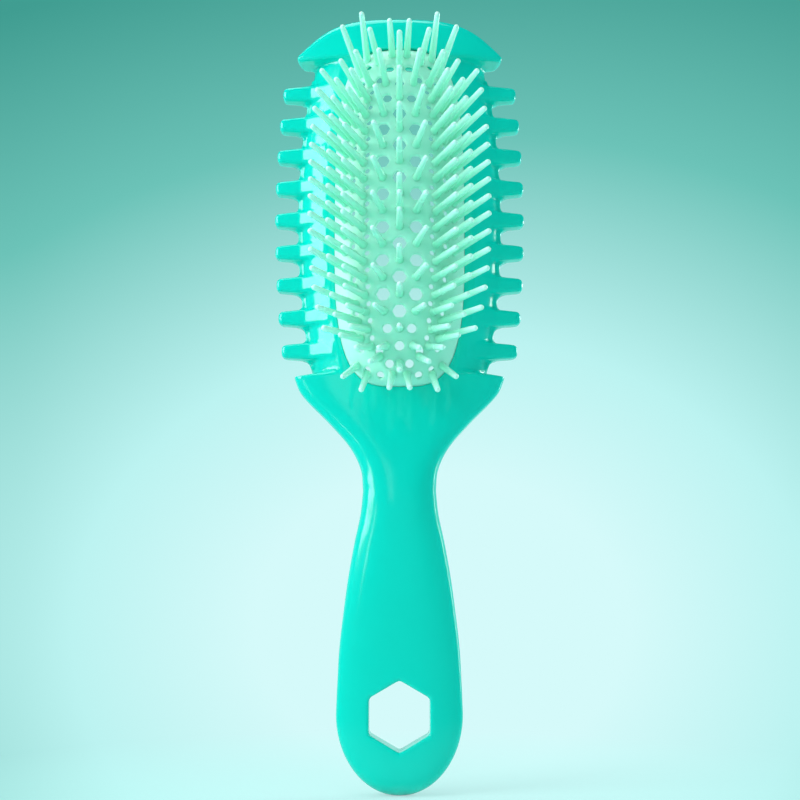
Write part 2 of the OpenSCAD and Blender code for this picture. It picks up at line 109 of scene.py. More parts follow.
class Ray(Enum):
    """The kinds of light ray that the studio tells apart."""

    CAMERA = "Is Camera Ray"
    MIRRORED = "Is Glossy Ray"
    THROUGH = "Is Transmission Ray"
    DIFFUSE = "Is Diffuse Ray"


# Curves and tables


def ease(share: float) -> float:
    """Returns a smooth step from 0 to 1."""
    s = min(max(share, 0.0), 1.0)
    return s * s * (3 - 2 * s)


def signed_power(value: float, power: float) -> float:
    """Returns the power of a value's size, with the value's sign."""
    return math.copysign(abs(value) ** power, value)


def spread(low: float, high: float, count: int) -> list[float]:
    """Returns count + 1 evenly spaced places from low to high."""
    return [low + (high - low) * i / count for i in range(count + 1)]


def arc(middle: Pair, radius: float, start: float, turn: float, steps: int) -> list[Pair]:
    """Draws an arc.

    Args:
        middle: Middle of the arc.
        radius: Its radius.
        start: Angle at which it starts, in degrees.
        turn: Angle that it covers, in degrees.
        steps: Number of straight steps along it.

    Returns:
        The points along the arc, both ends among them.
    """
    angles = [math.radians(start + turn * i / steps) for i in range(steps + 1)]
    return [(middle[0] + radius * math.cos(a), middle[1] + radius * math.sin(a)) for a in angles]


def rounded_box(half_a: float, half_b: float, radius: float, steps: int) -> list[Pair]:
    """Draws a rectangle with rounded corners about the origin.

    Args:
        half_a: Half its first side.
        half_b: Half its second side.
        radius: Rounding of its corners.
        steps: Number of straight steps round each corner.

    Returns:
        The points round it.
    """
    r = min(radius, half_a, half_b)
    a, b = half_a - r, half_b - r
    corners = ((a, b, 0), (-a, b, 90), (-a, -b, 180), (a, -b, 270))
    return [point for x, y, start in corners for point in arc((x, y), r, start, 90, steps)]


@dataclass(frozen=True)
class SmoothTable:
    """A smooth line through the points of a table."""

    points: tuple[Pair, ...]

    def slope(self, index: int) -> float:
        """Works out the line's slope at one of the points.

        Args:
            index: Number of the point.

        Returns:
            The slope between its two neighbours.
        """
        low = self.points[max(index - 1, 0)]
        high = self.points[min(index + 1, len(self.points) - 1)]
        return (high[1] - low[1]) / (high[0] - low[0])

    def at(self, place: float) -> float:
        """Returns the line's height at a place.

        Args:
            place: Where the line is read.

        Returns:
            The height there.
        """
        last = len(self.points) - 2
        index = 0
        while index < last and place >= self.points[index + 1][0]:
            index += 1
        (start, low), (stop, high) = self.points[index], self.points[index + 1]
        width = stop - start
        s = (place - start) / width
        p, q = self.slope(index) * width, self.slope(index + 1) * width
        return low + p * s + (3 * (high - low) - 2 * p - q) * s**2 + (2 * (low - high) + p + q) * s**3


# Work at the bench: primitives, edit mode and modifiers


def clear_selection() -> None:
    """Leaves nothing selected."""
    if bpy.context.object and bpy.context.object.mode != "OBJECT":
        bpy.ops.object.mode_set(mode="OBJECT")
    bpy.ops.object.select_all(action="DESELECT")


def pick(piece: Object, *others: Object) -> None:
    """Makes a piece the active one, and selects it with any others.

    Args:
        piece: The piece that becomes active.
        others: Pieces that are selected with it.
    """
    clear_selection()
    for one in (*others, piece):
        one.select_set(True)
    bpy.context.view_layer.objects.active = piece


def tidy_shell(piece: Object) -> None:
    """Turns all faces of a closed shell outwards.

    Args:
        piece: The piece whose shell it is.
    """
    pick(piece)
    bpy.ops.object.mode_set(mode="EDIT")
    bpy.ops.mesh.select_all(action="SELECT")
    bpy.ops.mesh.normals_make_consistent(inside=False)
    bpy.ops.object.mode_set(mode="OBJECT")


def draw_through(name: str, rings: Sequence[Ring], looped: bool = False) -> Object:
    """Draws a closed body through a row of sections.

    A disc is extruded once for each section, and each section's corners are then moved to their places.

    Args:
        name: Name of the new piece.
        rings: The sections, with the same number of corners each.
        looped: True where the last section joins the first, as on a ring.

    Returns:
        The new piece.
    """
    sides = len(rings[0])
    clear_selection()
    fill = "NOTHING" if looped else "NGON"
    bpy.ops.mesh.primitive_circle_add(vertices=sides, radius=1, fill_type=fill)
    piece = bpy.context.object
    piece.name = piece.data.name = name
    bpy.ops.object.mode_set(mode="EDIT")
    bpy.ops.mesh.select_all(action="SELECT")
    for _ in rings[1:]:
        bpy.ops.mesh.extrude_region_move(TRANSFORM_OT_translate={"value": (0, 0, 1)})
    if looped:
        bpy.ops.mesh.select_all(action="DESELECT")
        bpy.ops.object.mode_set(mode="OBJECT")
        for edge in piece.data.edges:
            heights = {round(piece.data.vertices[v].co.z) for v in edge.vertices}
            edge.select = heights in ({0}, {len(rings) - 1})
        bpy.ops.object.mode_set(mode="EDIT")
        bpy.ops.mesh.select_mode(type="EDGE")
        bpy.ops.mesh.bridge_edge_loops()
        bpy.ops.mesh.select_mode(type="VERT")
    bpy.ops.object.mode_set(mode="OBJECT")
    for vertex in piece.data.vertices:
        corner = round(math.atan2(vertex.co.y, vertex.co.x) / FULL_TURN * sides) % sides
        vertex.co = rings[round(vertex.co.z)][corner]
    tidy_shell(piece)
    return piece


def turn_profile(name: str, profile: Sequence[Pair], steps: int) -> Object:
    """Turns a profile about the Z axis, as on a lathe.

    Args:
        name: Name of the new piece.
        profile: Radius and height of each point; the first and the last lie on the axis.
        steps: Number of facets round the axis.

    Returns:
        The new piece, closed.
    """
    clear_selection()
    bpy.ops.mesh.primitive_plane_add(size=1)
    piece = bpy.context.object
    piece.name = piece.data.name = name
    bpy.ops.object.mode_set(mode="EDIT")
    bpy.ops.mesh.select_all(action="SELECT")
    bpy.ops.mesh.merge(type="CENTER")
    bpy.ops.transform.translate(value=(profile[0][0], 0, profile[0][1]))
    for (from_r, from_z), (to_r, to_z) in zip(profile, profile[1:]):
        step = (to_r - from_r, 0, to_z - from_z)
        bpy.ops.mesh.extrude_region_move(TRANSFORM_OT_translate={"value": step})
    bpy.ops.mesh.select_all(action="SELECT")
    bpy.ops.mesh.spin(steps=steps, angle=FULL_TURN, center=(0, 0, 0), axis=(0, 0, 1))
    bpy.ops.mesh.select_all(action="SELECT")
    bpy.ops.mesh.remove_doubles(threshold=WELD)
    bpy.ops.mesh.normals_make_consistent(inside=False)
    bpy.ops.object.mode_set(mode="OBJECT")
    return piece


def copy_of(piece: Object, place: Matrix) -> Object:
    """Copies a piece with a mesh of its own, and moves the copy's mesh to a new place.

    Args:
        piece: The piece to copy.
        place: The move, as a matrix.

    Returns:
        The copy.
    """
    twin = piece.copy()
    twin.data = piece.data.copy()
    twin.data.transform(place)
    bpy.context.scene.collection.objects.link(twin)
    return twin


def mirrored(piece: Object) -> Object:
    """Copies a piece to the other side of the brush.

    Args:
        piece: The piece to copy.

    Returns:
        Its mirror image, with its faces outwards.
    """
    twin = copy_of(piece, Matrix.Scale(-1, 4, (1, 0, 0)))
    tidy_shell(twin)
    return twin


def joined(name: str, pieces: Sequence[Object]) -> Object:
    """Joins pieces into one object with a new name.

    Args:
        name: The new name.
        pieces: The pieces, of which the first takes in the rest.

    Returns:
        The joined piece.
    """
    pick(pieces[0], *pieces[1:])
    if len(pieces) > 1:
        bpy.ops.object.join()
    pieces[0].name = pieces[0].data.name = name
    return pieces[0]


def discard(*pieces: Object) -> None:
    """Removes helper bodies and their meshes.

    Args:
        pieces: The bodies that are no longer needed.
    """
    for piece in pieces:
        mesh = piece.data
        bpy.data.objects.remove(piece)
        bpy.data.meshes.remove(mesh)


def carve(piece: Object, tool: Object, cut: Cut = Cut.REMOVE) -> None:
    """Carves a piece with a closed cutting body.

    Args:
        piece: The piece to carve.
        tool: The cutting body, which stays as it is.
        cut: Whether the tool's body is taken away or kept.
    """
    pick(piece)
    bpy.ops.object.modifier_add(type="BOOLEAN")
    modifier = piece.modifiers[-1]
    modifier.operation = cut.value
    modifier.solver = "MANIFOLD"
    modifier.object = tool
    bpy.ops.object.modifier_apply(modifier=modifier.name)


def mould(piece: Object, grain: float, passes: int) -> None:
    """Fuses overlapping bodies into one skin and rounds its edges, as a moulding's are.

    Args:
        piece: The piece, which may be several bodies that overlap.
        grain: Size of the new skin's facets, in millimetres.
        passes: How often the skin is smoothed.
    """
    pick(piece)
    bpy.ops.object.modifier_add(type="REMESH")
    remesh = piece.modifiers[-1]
    remesh.mode = "VOXEL"
    remesh.voxel_size = grain
    remesh.use_smooth_shade = True
    bpy.ops.object.modifier_apply(modifier=remesh.name)
    bpy.ops.object.modifier_add(type="SMOOTH")
    smooth = piece.modifiers[-1]
    smooth.iterations = passes
    bpy.ops.object.modifier_apply(modifier=smooth.name)


def set_down(piece: Object, crease: float = 40) -> Object:
    """Carries a finished piece from the bench into the row frame, in metres.

    Args:
        piece: The piece, drawn in millimetres from the middle of the handle's depth.
        crease: Edges sharper than this many degrees stay crisp.

    Returns:
        The same piece.
    """
    piece.data.transform(Matrix.Scale(MM, 4) @ Matrix.Translation((0, DEPTH_SHIFT, 0)))
    pick(piece)
    bpy.ops.object.shade_smooth_by_angle(angle=math.radians(crease))
    piece.data.update()
    return piece


def dress(piece: Object, finish: bpy.types.Material) -> None:
    """Gives a piece its finish.

    Args:
        piece: The piece to dress.
        finish: Its material.
    """
    piece.data.materials.clear()
    piece.data.materials.append(finish)


# Shader maths


@dataclass
class Value:
    """The value of one socket. Sums of such values add their own Math nodes."""

    desk: "Desk"
    socket: bpy.types.NodeSocket

    def maths(self, operation: str, first: "Value | float", second: "Value | float") -> "Value":
        """Adds a Math node with two inputs."""
        return self.desk.add("ShaderNodeMath", {"operation": operation}, {0: first, 1: second})

    def __add__(self, other: "Value | float") -> "Value":
        """Adds."""
        return self.maths("ADD", self, other)

    def __radd__(self, other: float) -> "Value":
        """Adds to a number."""
        return self.maths("ADD", other, self)

    def __sub__(self, other: "Value | float") -> "Value":
        """Takes away."""
        return self.maths("SUBTRACT", self, other)

    def __rsub__(self, other: float) -> "Value":
        """Takes away from a number."""
        return self.maths("SUBTRACT", other, self)

    def __mul__(self, other: "Value | float") -> "Value":
        """Multiplies."""
        return self.maths("MULTIPLY", self, other)

    def __rmul__(self, other: float) -> "Value":
        """Multiplies a number."""
        return self.maths("MULTIPLY", other, self)

    def __pow__(self, other: "Value | float") -> "Value":
        """Raises to a power."""
        return self.maths("POWER", self, other)

    def or_(self, other: "Value | float") -> "Value":
        """Returns the greater of two values."""
        return self.maths("MAXIMUM", self, other)


@dataclass(frozen=True)
class Cloud:
    """Soft noise: the size of its patches in millimetres, its finer layers and how strong those are."""

    size: float
    layers: float
    strength: float = 0.5


class Desk:
    """The nodes of one material or world."""

    def __init__(self, owner: bpy.types.Material | bpy.types.World) -> None:
        """Empties the owner's node tree.

        Args:
            owner: The material or world whose nodes are laid out.
        """
        owner.use_nodes = True
        self.tree = owner.node_tree
        self.tree.nodes.clear()

    def add(self, kind: str, settings: dict | None = None, inputs: dict | None = None,
            output: int | str = 0) -> Value:
        """Adds one node.

        Args:
            kind: The node's type.
            settings: Its properties, set before its inputs; "stops" holds a ramp's places and colours.
            inputs: A value, number or colour for each socket, by name or by number.
            output: The socket that is returned.

        Returns:
            The node's output.
        """
        node = self.tree.nodes.new(kind)
        for name, setting in (settings or {}).items():
            if name == "stops":
                elements = node.color_ramp.elements
                while len(elements) < len(setting):
                    elements.new(1)
                for element, (place, colour) in zip(elements, setting):
                    element.position, element.color = place, colour
            else:
                setattr(node, name, setting)
        for name, value in (inputs or {}).items():
            if isinstance(value, Value):
                self.tree.links.new(value.socket, node.inputs[name])
            else:
                node.inputs[name].default_value = value
        return Value(self, node.outputs[output] if node.outputs else node.inputs[0])

    def blend(self, share: Value | float, first: Value | tuple, second: Value | tuple) -> Value:
        """Mixes two colours."""
        settings = {"data_type": "RGBA", "clamp_factor": True}
        return self.add("ShaderNodeMix", settings, {0: share, 6: first, 7: second}, 2)

    def place(self) -> Value:
        """Returns the place on the piece, in metres."""
        return self.add("ShaderNodeTexCoord", output="Object")

    def vector(self, operation: str, *inputs: "Value | Point", output: int | str = 0) -> Value:
        """Adds a Vector Math node."""
        return self.add("ShaderNodeVectorMath", {"operation": operation}, dict(enumerate(inputs)), output)

    def along(self, way: Value, axis: str) -> Value:
        """Returns one part of a direction or place, by its axis."""
        return self.add("ShaderNodeSeparateXYZ", {}, {0: way}, axis)

    def is_ray(self, ray: Ray) -> Value:
        """Returns 1 for the rays of one kind, and 0 for all others."""
        return self.add("ShaderNodeLightPath", output=ray.value)

    def noise(self, cloud: Cloud) -> Value:
        """Lays a cloud of soft noise on the piece.

        Args:
            cloud: The cloud's size and layers.

        Returns:
            The noise, from 0 to 1.
        """
        inputs = {"Vector": self.place(), "Scale": 1 / (cloud.size * MM), "Detail": cloud.layers,
                  "Roughness": cloud.strength}
        return self.add("ShaderNodeTexNoise", {}, inputs)

    def relief(self, height: Value, depth_mm: float) -> Value:
        """Returns a normal that follows a fine relief."""
        return self.add("ShaderNodeBump", {}, {"Height": height, "Distance": depth_mm * MM})

    def surface(self, inputs: dict) -> None:
        """Ends the material in a Principled shader."""
        shader = self.add("ShaderNodeBsdfPrincipled", {}, inputs)
        self.add("ShaderNodeOutputMaterial", {}, {"Surface": shader})


def linear(red: int, green: int, blue: int) -> tuple[float, float, float, float]:
    """Works out the light that a screen colour stands for, by the screen's standard curve.

    Args:
        red: Red, from 0 to 255.
        green: Green, from 0 to 255.
        blue: Blue, from 0 to 255.

    Returns:
        The same colour as light, opaque.
    """
    parts = [c / 255 for c in (red, green, blue)]
    light = [c / 12.92 if c <= 0.04045 else ((c + 0.055) / 1.055) ** 2.4 for c in parts]
    return (*light, 1.0)


# The finishes


@dataclass(frozen=True)
class Plastic:
    """A moulded plastic.

    Attributes:
        name: Name of its material.
        low_colour: Its colour where its drift is 0.
        high_colour: Its colour where its drift is 1.
        roughness: Its mean roughness.
        roughness_swing: How far the roughness varies.
        polish: Cloud that the roughness follows.
        grain: Cloud of its fine relief.
        grain_depth: Depth of that relief, in millimetres.
        sunk_share: Share of the light that sinks in.
        sunk_reach: How far red, green and blue light reach, beside each other.
        sunk_scale: How far light reaches, in metres.
        flow: Cloud that its colour follows.
    """

    name: str
    low_colour: tuple
    high_colour: tuple
    roughness: float
    roughness_swing: float
    polish: Cloud
    grain: Cloud
    grain_depth: float
    sunk_share: float
    sunk_reach: Point
    sunk_scale: float
    flow: Cloud = Cloud(30, 3)

    def drift(self, desk: Desk) -> Value:
        """Returns where the colour lies between the low and the high one."""
        return desk.noise(self.flow)

    def material(self) -> bpy.types.Material:
        """Mixes the plastic.

        Returns:
            Its material.
        """
        made = bpy.data.materials.new(self.name)
        desk = Desk(made)
        desk.surface({
            "Base Color": desk.blend(self.drift(desk), self.low_colour, self.high_colour),
            "Roughness": self.roughness + (desk.noise(self.polish) - 0.5) * self.roughness_swing,
            "Normal": desk.relief(desk.noise(self.grain), self.grain_depth),
            "Subsurface Weight": self.sunk_share,
            "Subsurface Radius": self.sunk_reach,
            "Subsurface Scale": self.sunk_scale,
        })
        return made


@dataclass(frozen=True)
class GlossyTealPlastic(Plastic):
    """The frame's hard, polished plastic, with faint flow clouds and a hint of mould texture."""

    name: str = "glossy_teal_plastic"
    low_colour: tuple = linear(0, 219, 202)
    high_colour: tuple = linear(0, 213, 196)
    roughness: float = 0.13
    roughness_swing: float = 0.07
    polish: Cloud = Cloud(14, 4, 0.6)
    grain: Cloud = Cloud(1.6, 1)
    grain_depth: float = 0.004
    sunk_share: float = 0.08
    sunk_reach: Point = (0.3, 1.0, 0.9)
    sunk_scale: float = 0.0015
    flow: Cloud = Cloud(45, 3)


@dataclass(frozen=True)
class SoftMintRubber(Plastic):
    """The pad's soft rubber, that light sinks into a little, with a fine satin grain."""

    name: str = "soft_mint_rubber"
    low_colour: tuple = linear(190, 253, 231)
    high_colour: tuple = linear(178, 251, 224)
    roughness: float = 0.36
    roughness_swing: float = 0.1
    polish: Cloud = Cloud(9, 3)
    grain: Cloud = Cloud(0.5, 2)
    grain_depth: float = 0.01
    sunk_share: float = 0.45
    sunk_reach: Point = (0.5, 1.0, 0.85)
    sunk_scale: float = 0.003


@dataclass(frozen=True)
class PinRubber(SoftMintRubber):
    """The pins' firmer rubber, whose colour lightens along each pin from its root to its tip: a painted glow
    of light through the thin tips.
    """

    name: str = "pin_rubber"
    low_colour: tuple = linear(176, 251, 224)
    # Tip colour, lighter than the root's: a painted glow of light shining through the thin tips
    high_colour: tuple = linear(204, 255, 238)
    roughness: float = 0.26
    roughness_swing: float = 0.08
    polish: Cloud = Cloud(4, 2)
    grain: Cloud = Cloud(0.6, 1)
    grain_depth: float = 0.004
    sunk_scale: float = 0.002

    def drift(self, desk: Desk) -> Value:
        """Returns how high up its pin a place is."""
        return desk.add("ShaderNodeAttribute", {"attribute_name": PIN_HEIGHT}, {}, "Fac")


# The handle


@dataclass
class Handle:
    """Outer shape of the handle, from its round end up to the shoulders.

    Attributes:
        shoulder_rise: How far the shoulders' top edge rises from its corners.
        shoulder_in: How far inside the corners it has done so.
        head_back: Depth of the head's flat back.
        end_flat: Cut off the round end, which leaves a small flat.
        end_round: Height over which the end rounds off from front to back.
        grip_squareness: Power of the grip's section, where 2 is an ellipse.
        top_squareness: The same at the shoulders.
        grip_shares: How the width falls from the widest place to the neck.
        flare_shares: How it grows from the neck to the shoulders.
    """

    length: float = 119.5
    widest: float = 36
    widest_z: float = 22
    neck_width: float = 21.4
    neck_z: float = 85
    shoulder_width: float = 63.5
    shoulder_rise: float = 2.4
    shoulder_in: float = 15
    grip_depth: float = 10
    neck_depth: float = 13
    plate_depth: float = 10.3
    head_back: float = 9.5
    end_flat: float = 0.12
    end_round: float = 6
    grip_squareness: float = 2.5
    top_squareness: float = 4.6
    cover_top: float = 104
    hex_flats: float = 17.1
    hex_z: float = 21.6
    hex_round: float = 1.2
    hex_steps: int = 6
    sides: int = 96
    end_steps: int = 18
    grip_steps: int = 36
    flare_steps: int = 32
    rise_steps: int = 3
    cover_steps: int = 60
    grip_shares: SmoothTable = SmoothTable((
        (0, 0), (0.13, 0.04), (0.29, 0.11), (0.44, 0.25), (0.6, 0.43), (0.76, 0.67), (0.89, 0.905), (1, 1)))
    flare_shares: SmoothTable = SmoothTable((
        (0, 0), (0.184, 0.034), (0.379, 0.19), (0.583, 0.475), (0.845, 0.885), (1, 1)))

    @property
    def face_y(self) -> float:
        """Depth of the shoulders' flat face."""
        return self.head_back - self.plate_depth

    def half_width(self, z: float) -> float:
        """Works out the handle's width.

        Args:
            z: Height above the round end.

        Returns:
            Half the width there.
        """
        if z <= self.widest_z:
            fall = (self.widest_z - z) / (self.widest_z + self.end_flat)
            return self.widest / 2 * math.sqrt(1 - fall**2)
        if z <= self.neck_z:
            share = self.grip_shares.at((z - self.widest_z) / (self.neck_z - self.widest_z))
            return self.widest / 2 - (self.widest - self.neck_width) / 2 * share
        if z <= self.length:
            share = self.flare_shares.at((z - self.neck_z) / (self.length - self.neck_z))
            return self.neck_width / 2 + (self.shoulder_width - self.neck_width) / 2 * share
        return self.shoulder_width / 2 - self.shoulder_in * (z - self.length) / self.shoulder_rise

    def flare(self, z: float) -> float:
        """Returns how far the handle has turned from a grip into the head's plate."""
        return ease((z - self.neck_z + self.end_round) / (self.length - self.neck_z + self.end_round))

    def half_depth(self, z: float) -> float:
        """Works out the handle's depth.

        Args:
            z: Height above the round end.

        Returns:
            Half the depth there.
        """
        grip = self.grip_depth / 2
        if z < self.end_round:
            return grip * math.sqrt(1 - ((self.end_round - z) / (self.end_round + self.end_flat)) ** 2)
        swell = ease((z - self.widest_z) / (self.neck_z - self.widest_z))
        return (grip + (self.neck_depth - self.grip_depth) / 2 * swell
                + (self.plate_depth - self.neck_depth) / 2 * self.flare(z))

    def middle(self, z: float) -> float:
        """Returns the depth of the handle's middle, where the two shells meet."""
        return (self.head_back - self.plate_depth / 2) * self.flare(z)

    def heights(self) -> list[float]:
        """Sets out the handle's sections.

        Returns:
            Their heights, closer together towards the round end.
        """
        end = [self.widest_z * (1 - math.cos(a)) for a in spread(0, math.pi / 2, self.end_steps)]
        grip = spread(self.widest_z, self.neck_z, self.grip_steps)
        flare = spread(self.neck_z, self.length, self.flare_steps)
        rise = spread(self.length, self.length + self.shoulder_rise, self.rise_steps)
        return [*end, *grip[1:], *flare[1:], *rise[1:]]

    def section(self, z: float) -> Ring:
        """Draws one section of the handle.

        Args:
            z: Its height.

        Returns:
            The points round it.
        """
        square = self.grip_squareness + (self.top_squareness - self.grip_squareness) * self.flare(z)
        width, depth, middle = self.half_width(z), self.half_depth(z), self.middle(z)
        angles = [FULL_TURN * i / self.sides for i in range(self.sides)]
        return [(width * signed_power(math.cos(a), 2 / square),
                 middle + depth * signed_power(math.sin(a), 2 / square), z) for a in angles]

    def body(self) -> Object:
        """Draws the handle's solid body."""
        return draw_through("handle_body", [self.section(z) for z in self.heights()])

    def hole_cutter(self) -> Object:
        """Draws the cutter of the hanging hole.

        Returns:
            A hexagonal bar with a corner up and its corners rounded.
        """
        inner = (self.hex_flats - 2 * self.hex_round) / math.sqrt(3)
        outline: list[Pair] = []
        for angle in range(90, 450, 60):
            a = math.radians(angle)
            middle = (inner * math.cos(a), self.hex_z + inner * math.sin(a))
            outline += arc(middle, self.hex_round, angle - 30, 60, self.hex_steps)
        return draw_through("hole_cutter", [[(x, y, z) for x, z in outline]
                                            for y in (-self.neck_depth, self.neck_depth)])

    def cover_region(self, gap: float) -> Object:
        """Draws the space of the back cover.

        Args:
            gap: How far the space stays behind the handle's middle and below the cover's top.

        Returns:
            A block behind the handle's middle.
        """
        wide = self.shoulder_width
        rings = []
        for z in (-self.end_round, *spread(0, self.cover_top - gap, self.cover_steps)):
            front = self.middle(z) + gap
            rings.append([(-wide, front, z), (wide, front, z), (wide, wide, z), (-wide, wide, z)])
        return draw_through("cover_region", rings)


# The pad's outline and skin, which the frame's opening follows too


@dataclass
class PadSkin:
    """Outline and crown of the pad.

    Attributes:
        lattice_z: Height of row 0, from which the rows of pins and vents are counted.
        power: Power of the outline, where 2 is an ellipse.
        edge_y: Depth of the pad's edge.
        column_power: Power of the bowed columns of pins and vents.
        lip_back: Depth of the back of the frame's lip, where the pad's flange lies.
        probe: Step over which the skin's slope is read.
    """

    width: float = 39.4
    length: float = 106.8
    middle_z: float = 169.4
    lattice_z: float = 168.2
    power: float = 3.5
    edge_y: float = -1.5
    crown_h: float = 7.4
    crown_r: float = 30
    row_pitch: float = 10.3
    column_power: float = 2.9
    lip_back: float = 2.0
    probe: float = 0.05

    def outline(self, grow: float, sides: int = 160) -> list[Pair]:
        """Returns the outline's points across and up.

        Args:
            grow: How far the outline is grown.
            sides: Number of points.

        Returns:
            The points, as places across and heights.
        """
        a, b = self.width / 2 + grow, self.length / 2 + grow
        angles = [FULL_TURN * i / sides for i in range(sides)]
        return [(a * signed_power(math.cos(t), 2 / self.power),
                 self.middle_z + b * signed_power(math.sin(t), 2 / self.power)) for t in angles]

    def bow(self, height: float, power: float) -> float:
        """Returns the half width of a bowed line at a height from the pad's middle."""
        share = min(abs(height) / (self.length / 2), 1)
        return self.width / 2 * (1 - share**power) ** (1 / power)

    def row_height(self, row: float) -> float:
        """Returns the height of a row, from the pad's middle."""
        return self.lattice_z - self.middle_z + row * self.row_pitch

    def column_x(self, share: float, row: float) -> float:
        """Returns where a column crosses a row."""
        return share * self.bow(self.row_height(row), self.column_power)

    def rise(self, x: float, height: float) -> float:
        """Works out the crown.

        Args:
            x: Place across.
            height: Height from the pad's middle.

        Returns:
            How far the crown stands in front of the pad's edge there.
        """
        half = self.width / 2
        drop = self.crown_r - math.sqrt(self.crown_r**2 - half**2)
        width = self.bow(height, self.power)
        share = min(max(x / width, -1), 1) if width > 0 else 0
        across = (math.sqrt(self.crown_r**2 - (share * half) ** 2) - self.crown_r + drop) / drop
        end = math.sqrt(max(1 - min(abs(height) / (self.length / 2), 1) ** self.power, 0))
        return self.crown_h * across * end

    def point(self, x: float, height: float) -> Vector:
        """Returns a point of the skin."""
        return Vector((x, self.edge_y - self.rise(x, height), self.middle_z + height))

    def upright(self, x: float, row: float) -> Matrix:
        """Returns the place of something that stands square on the skin.

        Args:
            x: Its place across.
            row: Its row.

        Returns:
            A matrix whose Z axis leaves the skin.
        """
        height, step = self.row_height(row), self.probe
        across = self.point(x + step, height) - self.point(x - step, height)
        along = self.point(x, height + step) - self.point(x, height - step)
        out = across.cross(along).normalized()
        tilt = Matrix.Rotation(math.acos(out.z), 4, "Y")
        turn = Matrix.Rotation(math.atan2(out.y, out.x), 4, "Z")
        return Matrix.Translation(self.point(x, height)) @ turn @ tilt


# The frame: handle, shoulders, rails with fingers, and cap


@dataclass
class Rail:
    """One arched rail beside the pad, swept round its outward bow.

    Attributes:
        width: Width over both rails, where they are farthest apart.
        lip_step: How far the rail's flat lip lies behind the shoulders' face.
        inner_share: Where the rail ends towards the pad, as a share of half that width.
        overrun: How far it runs into the shoulders and the cap.
        high_z: Height of the cap's lower edge.
    """

    handle: Handle
    width: float = 63
    middle_z: float = 172
    bow_r: float = 270
    arch_h: float = 14.4
    lip_step: float = 0.1
    inner_share: float = 0.5
    overrun: float = 3
    high_z: float = 220.7
    arch_steps: int = 28
    bow_steps: int = 60

    def outer_x(self, z: float) -> float:
        """Returns where the rail's outer edge lies at a height."""
        return self.width / 2 - (z - self.middle_z) ** 2 / (2 * self.bow_r)

    def section(self) -> list[Pair]:
        """Draws the rail's arched section.

        Returns:
            Its points, as places across and depths.
        """
        half, back = self.width / 2, self.handle.head_back
        lip = self.handle.face_y + self.lip_step
        start = math.acos((back - lip) / self.arch_h)
        curve = [(half * math.sin(a), back - self.arch_h * math.cos(a))
                 for a in spread(start, math.pi / 2, self.arch_steps)]
        inner = half * self.inner_share
        return [(inner, lip), *curve, (inner, back)]

    def body(self) -> Object:
        """Sweeps the rail's section round the bow.

        Returns:
            The rail, which runs a little way into the shoulders and the cap.
        """
        turn_r = self.bow_r - self.width / 2
        low = math.asin((self.middle_z - self.handle.length + self.overrun) / self.bow_r)
        high = math.asin((self.high_z - self.middle_z + self.overrun) / self.bow_r)
        rings = [[(-turn_r + (turn_r + x) * math.cos(a), y, self.middle_z + (turn_r + x) * math.sin(a))
                  for x, y in self.section()] for a in spread(-low, high, self.bow_steps)]
        return draw_through("rail", rings)


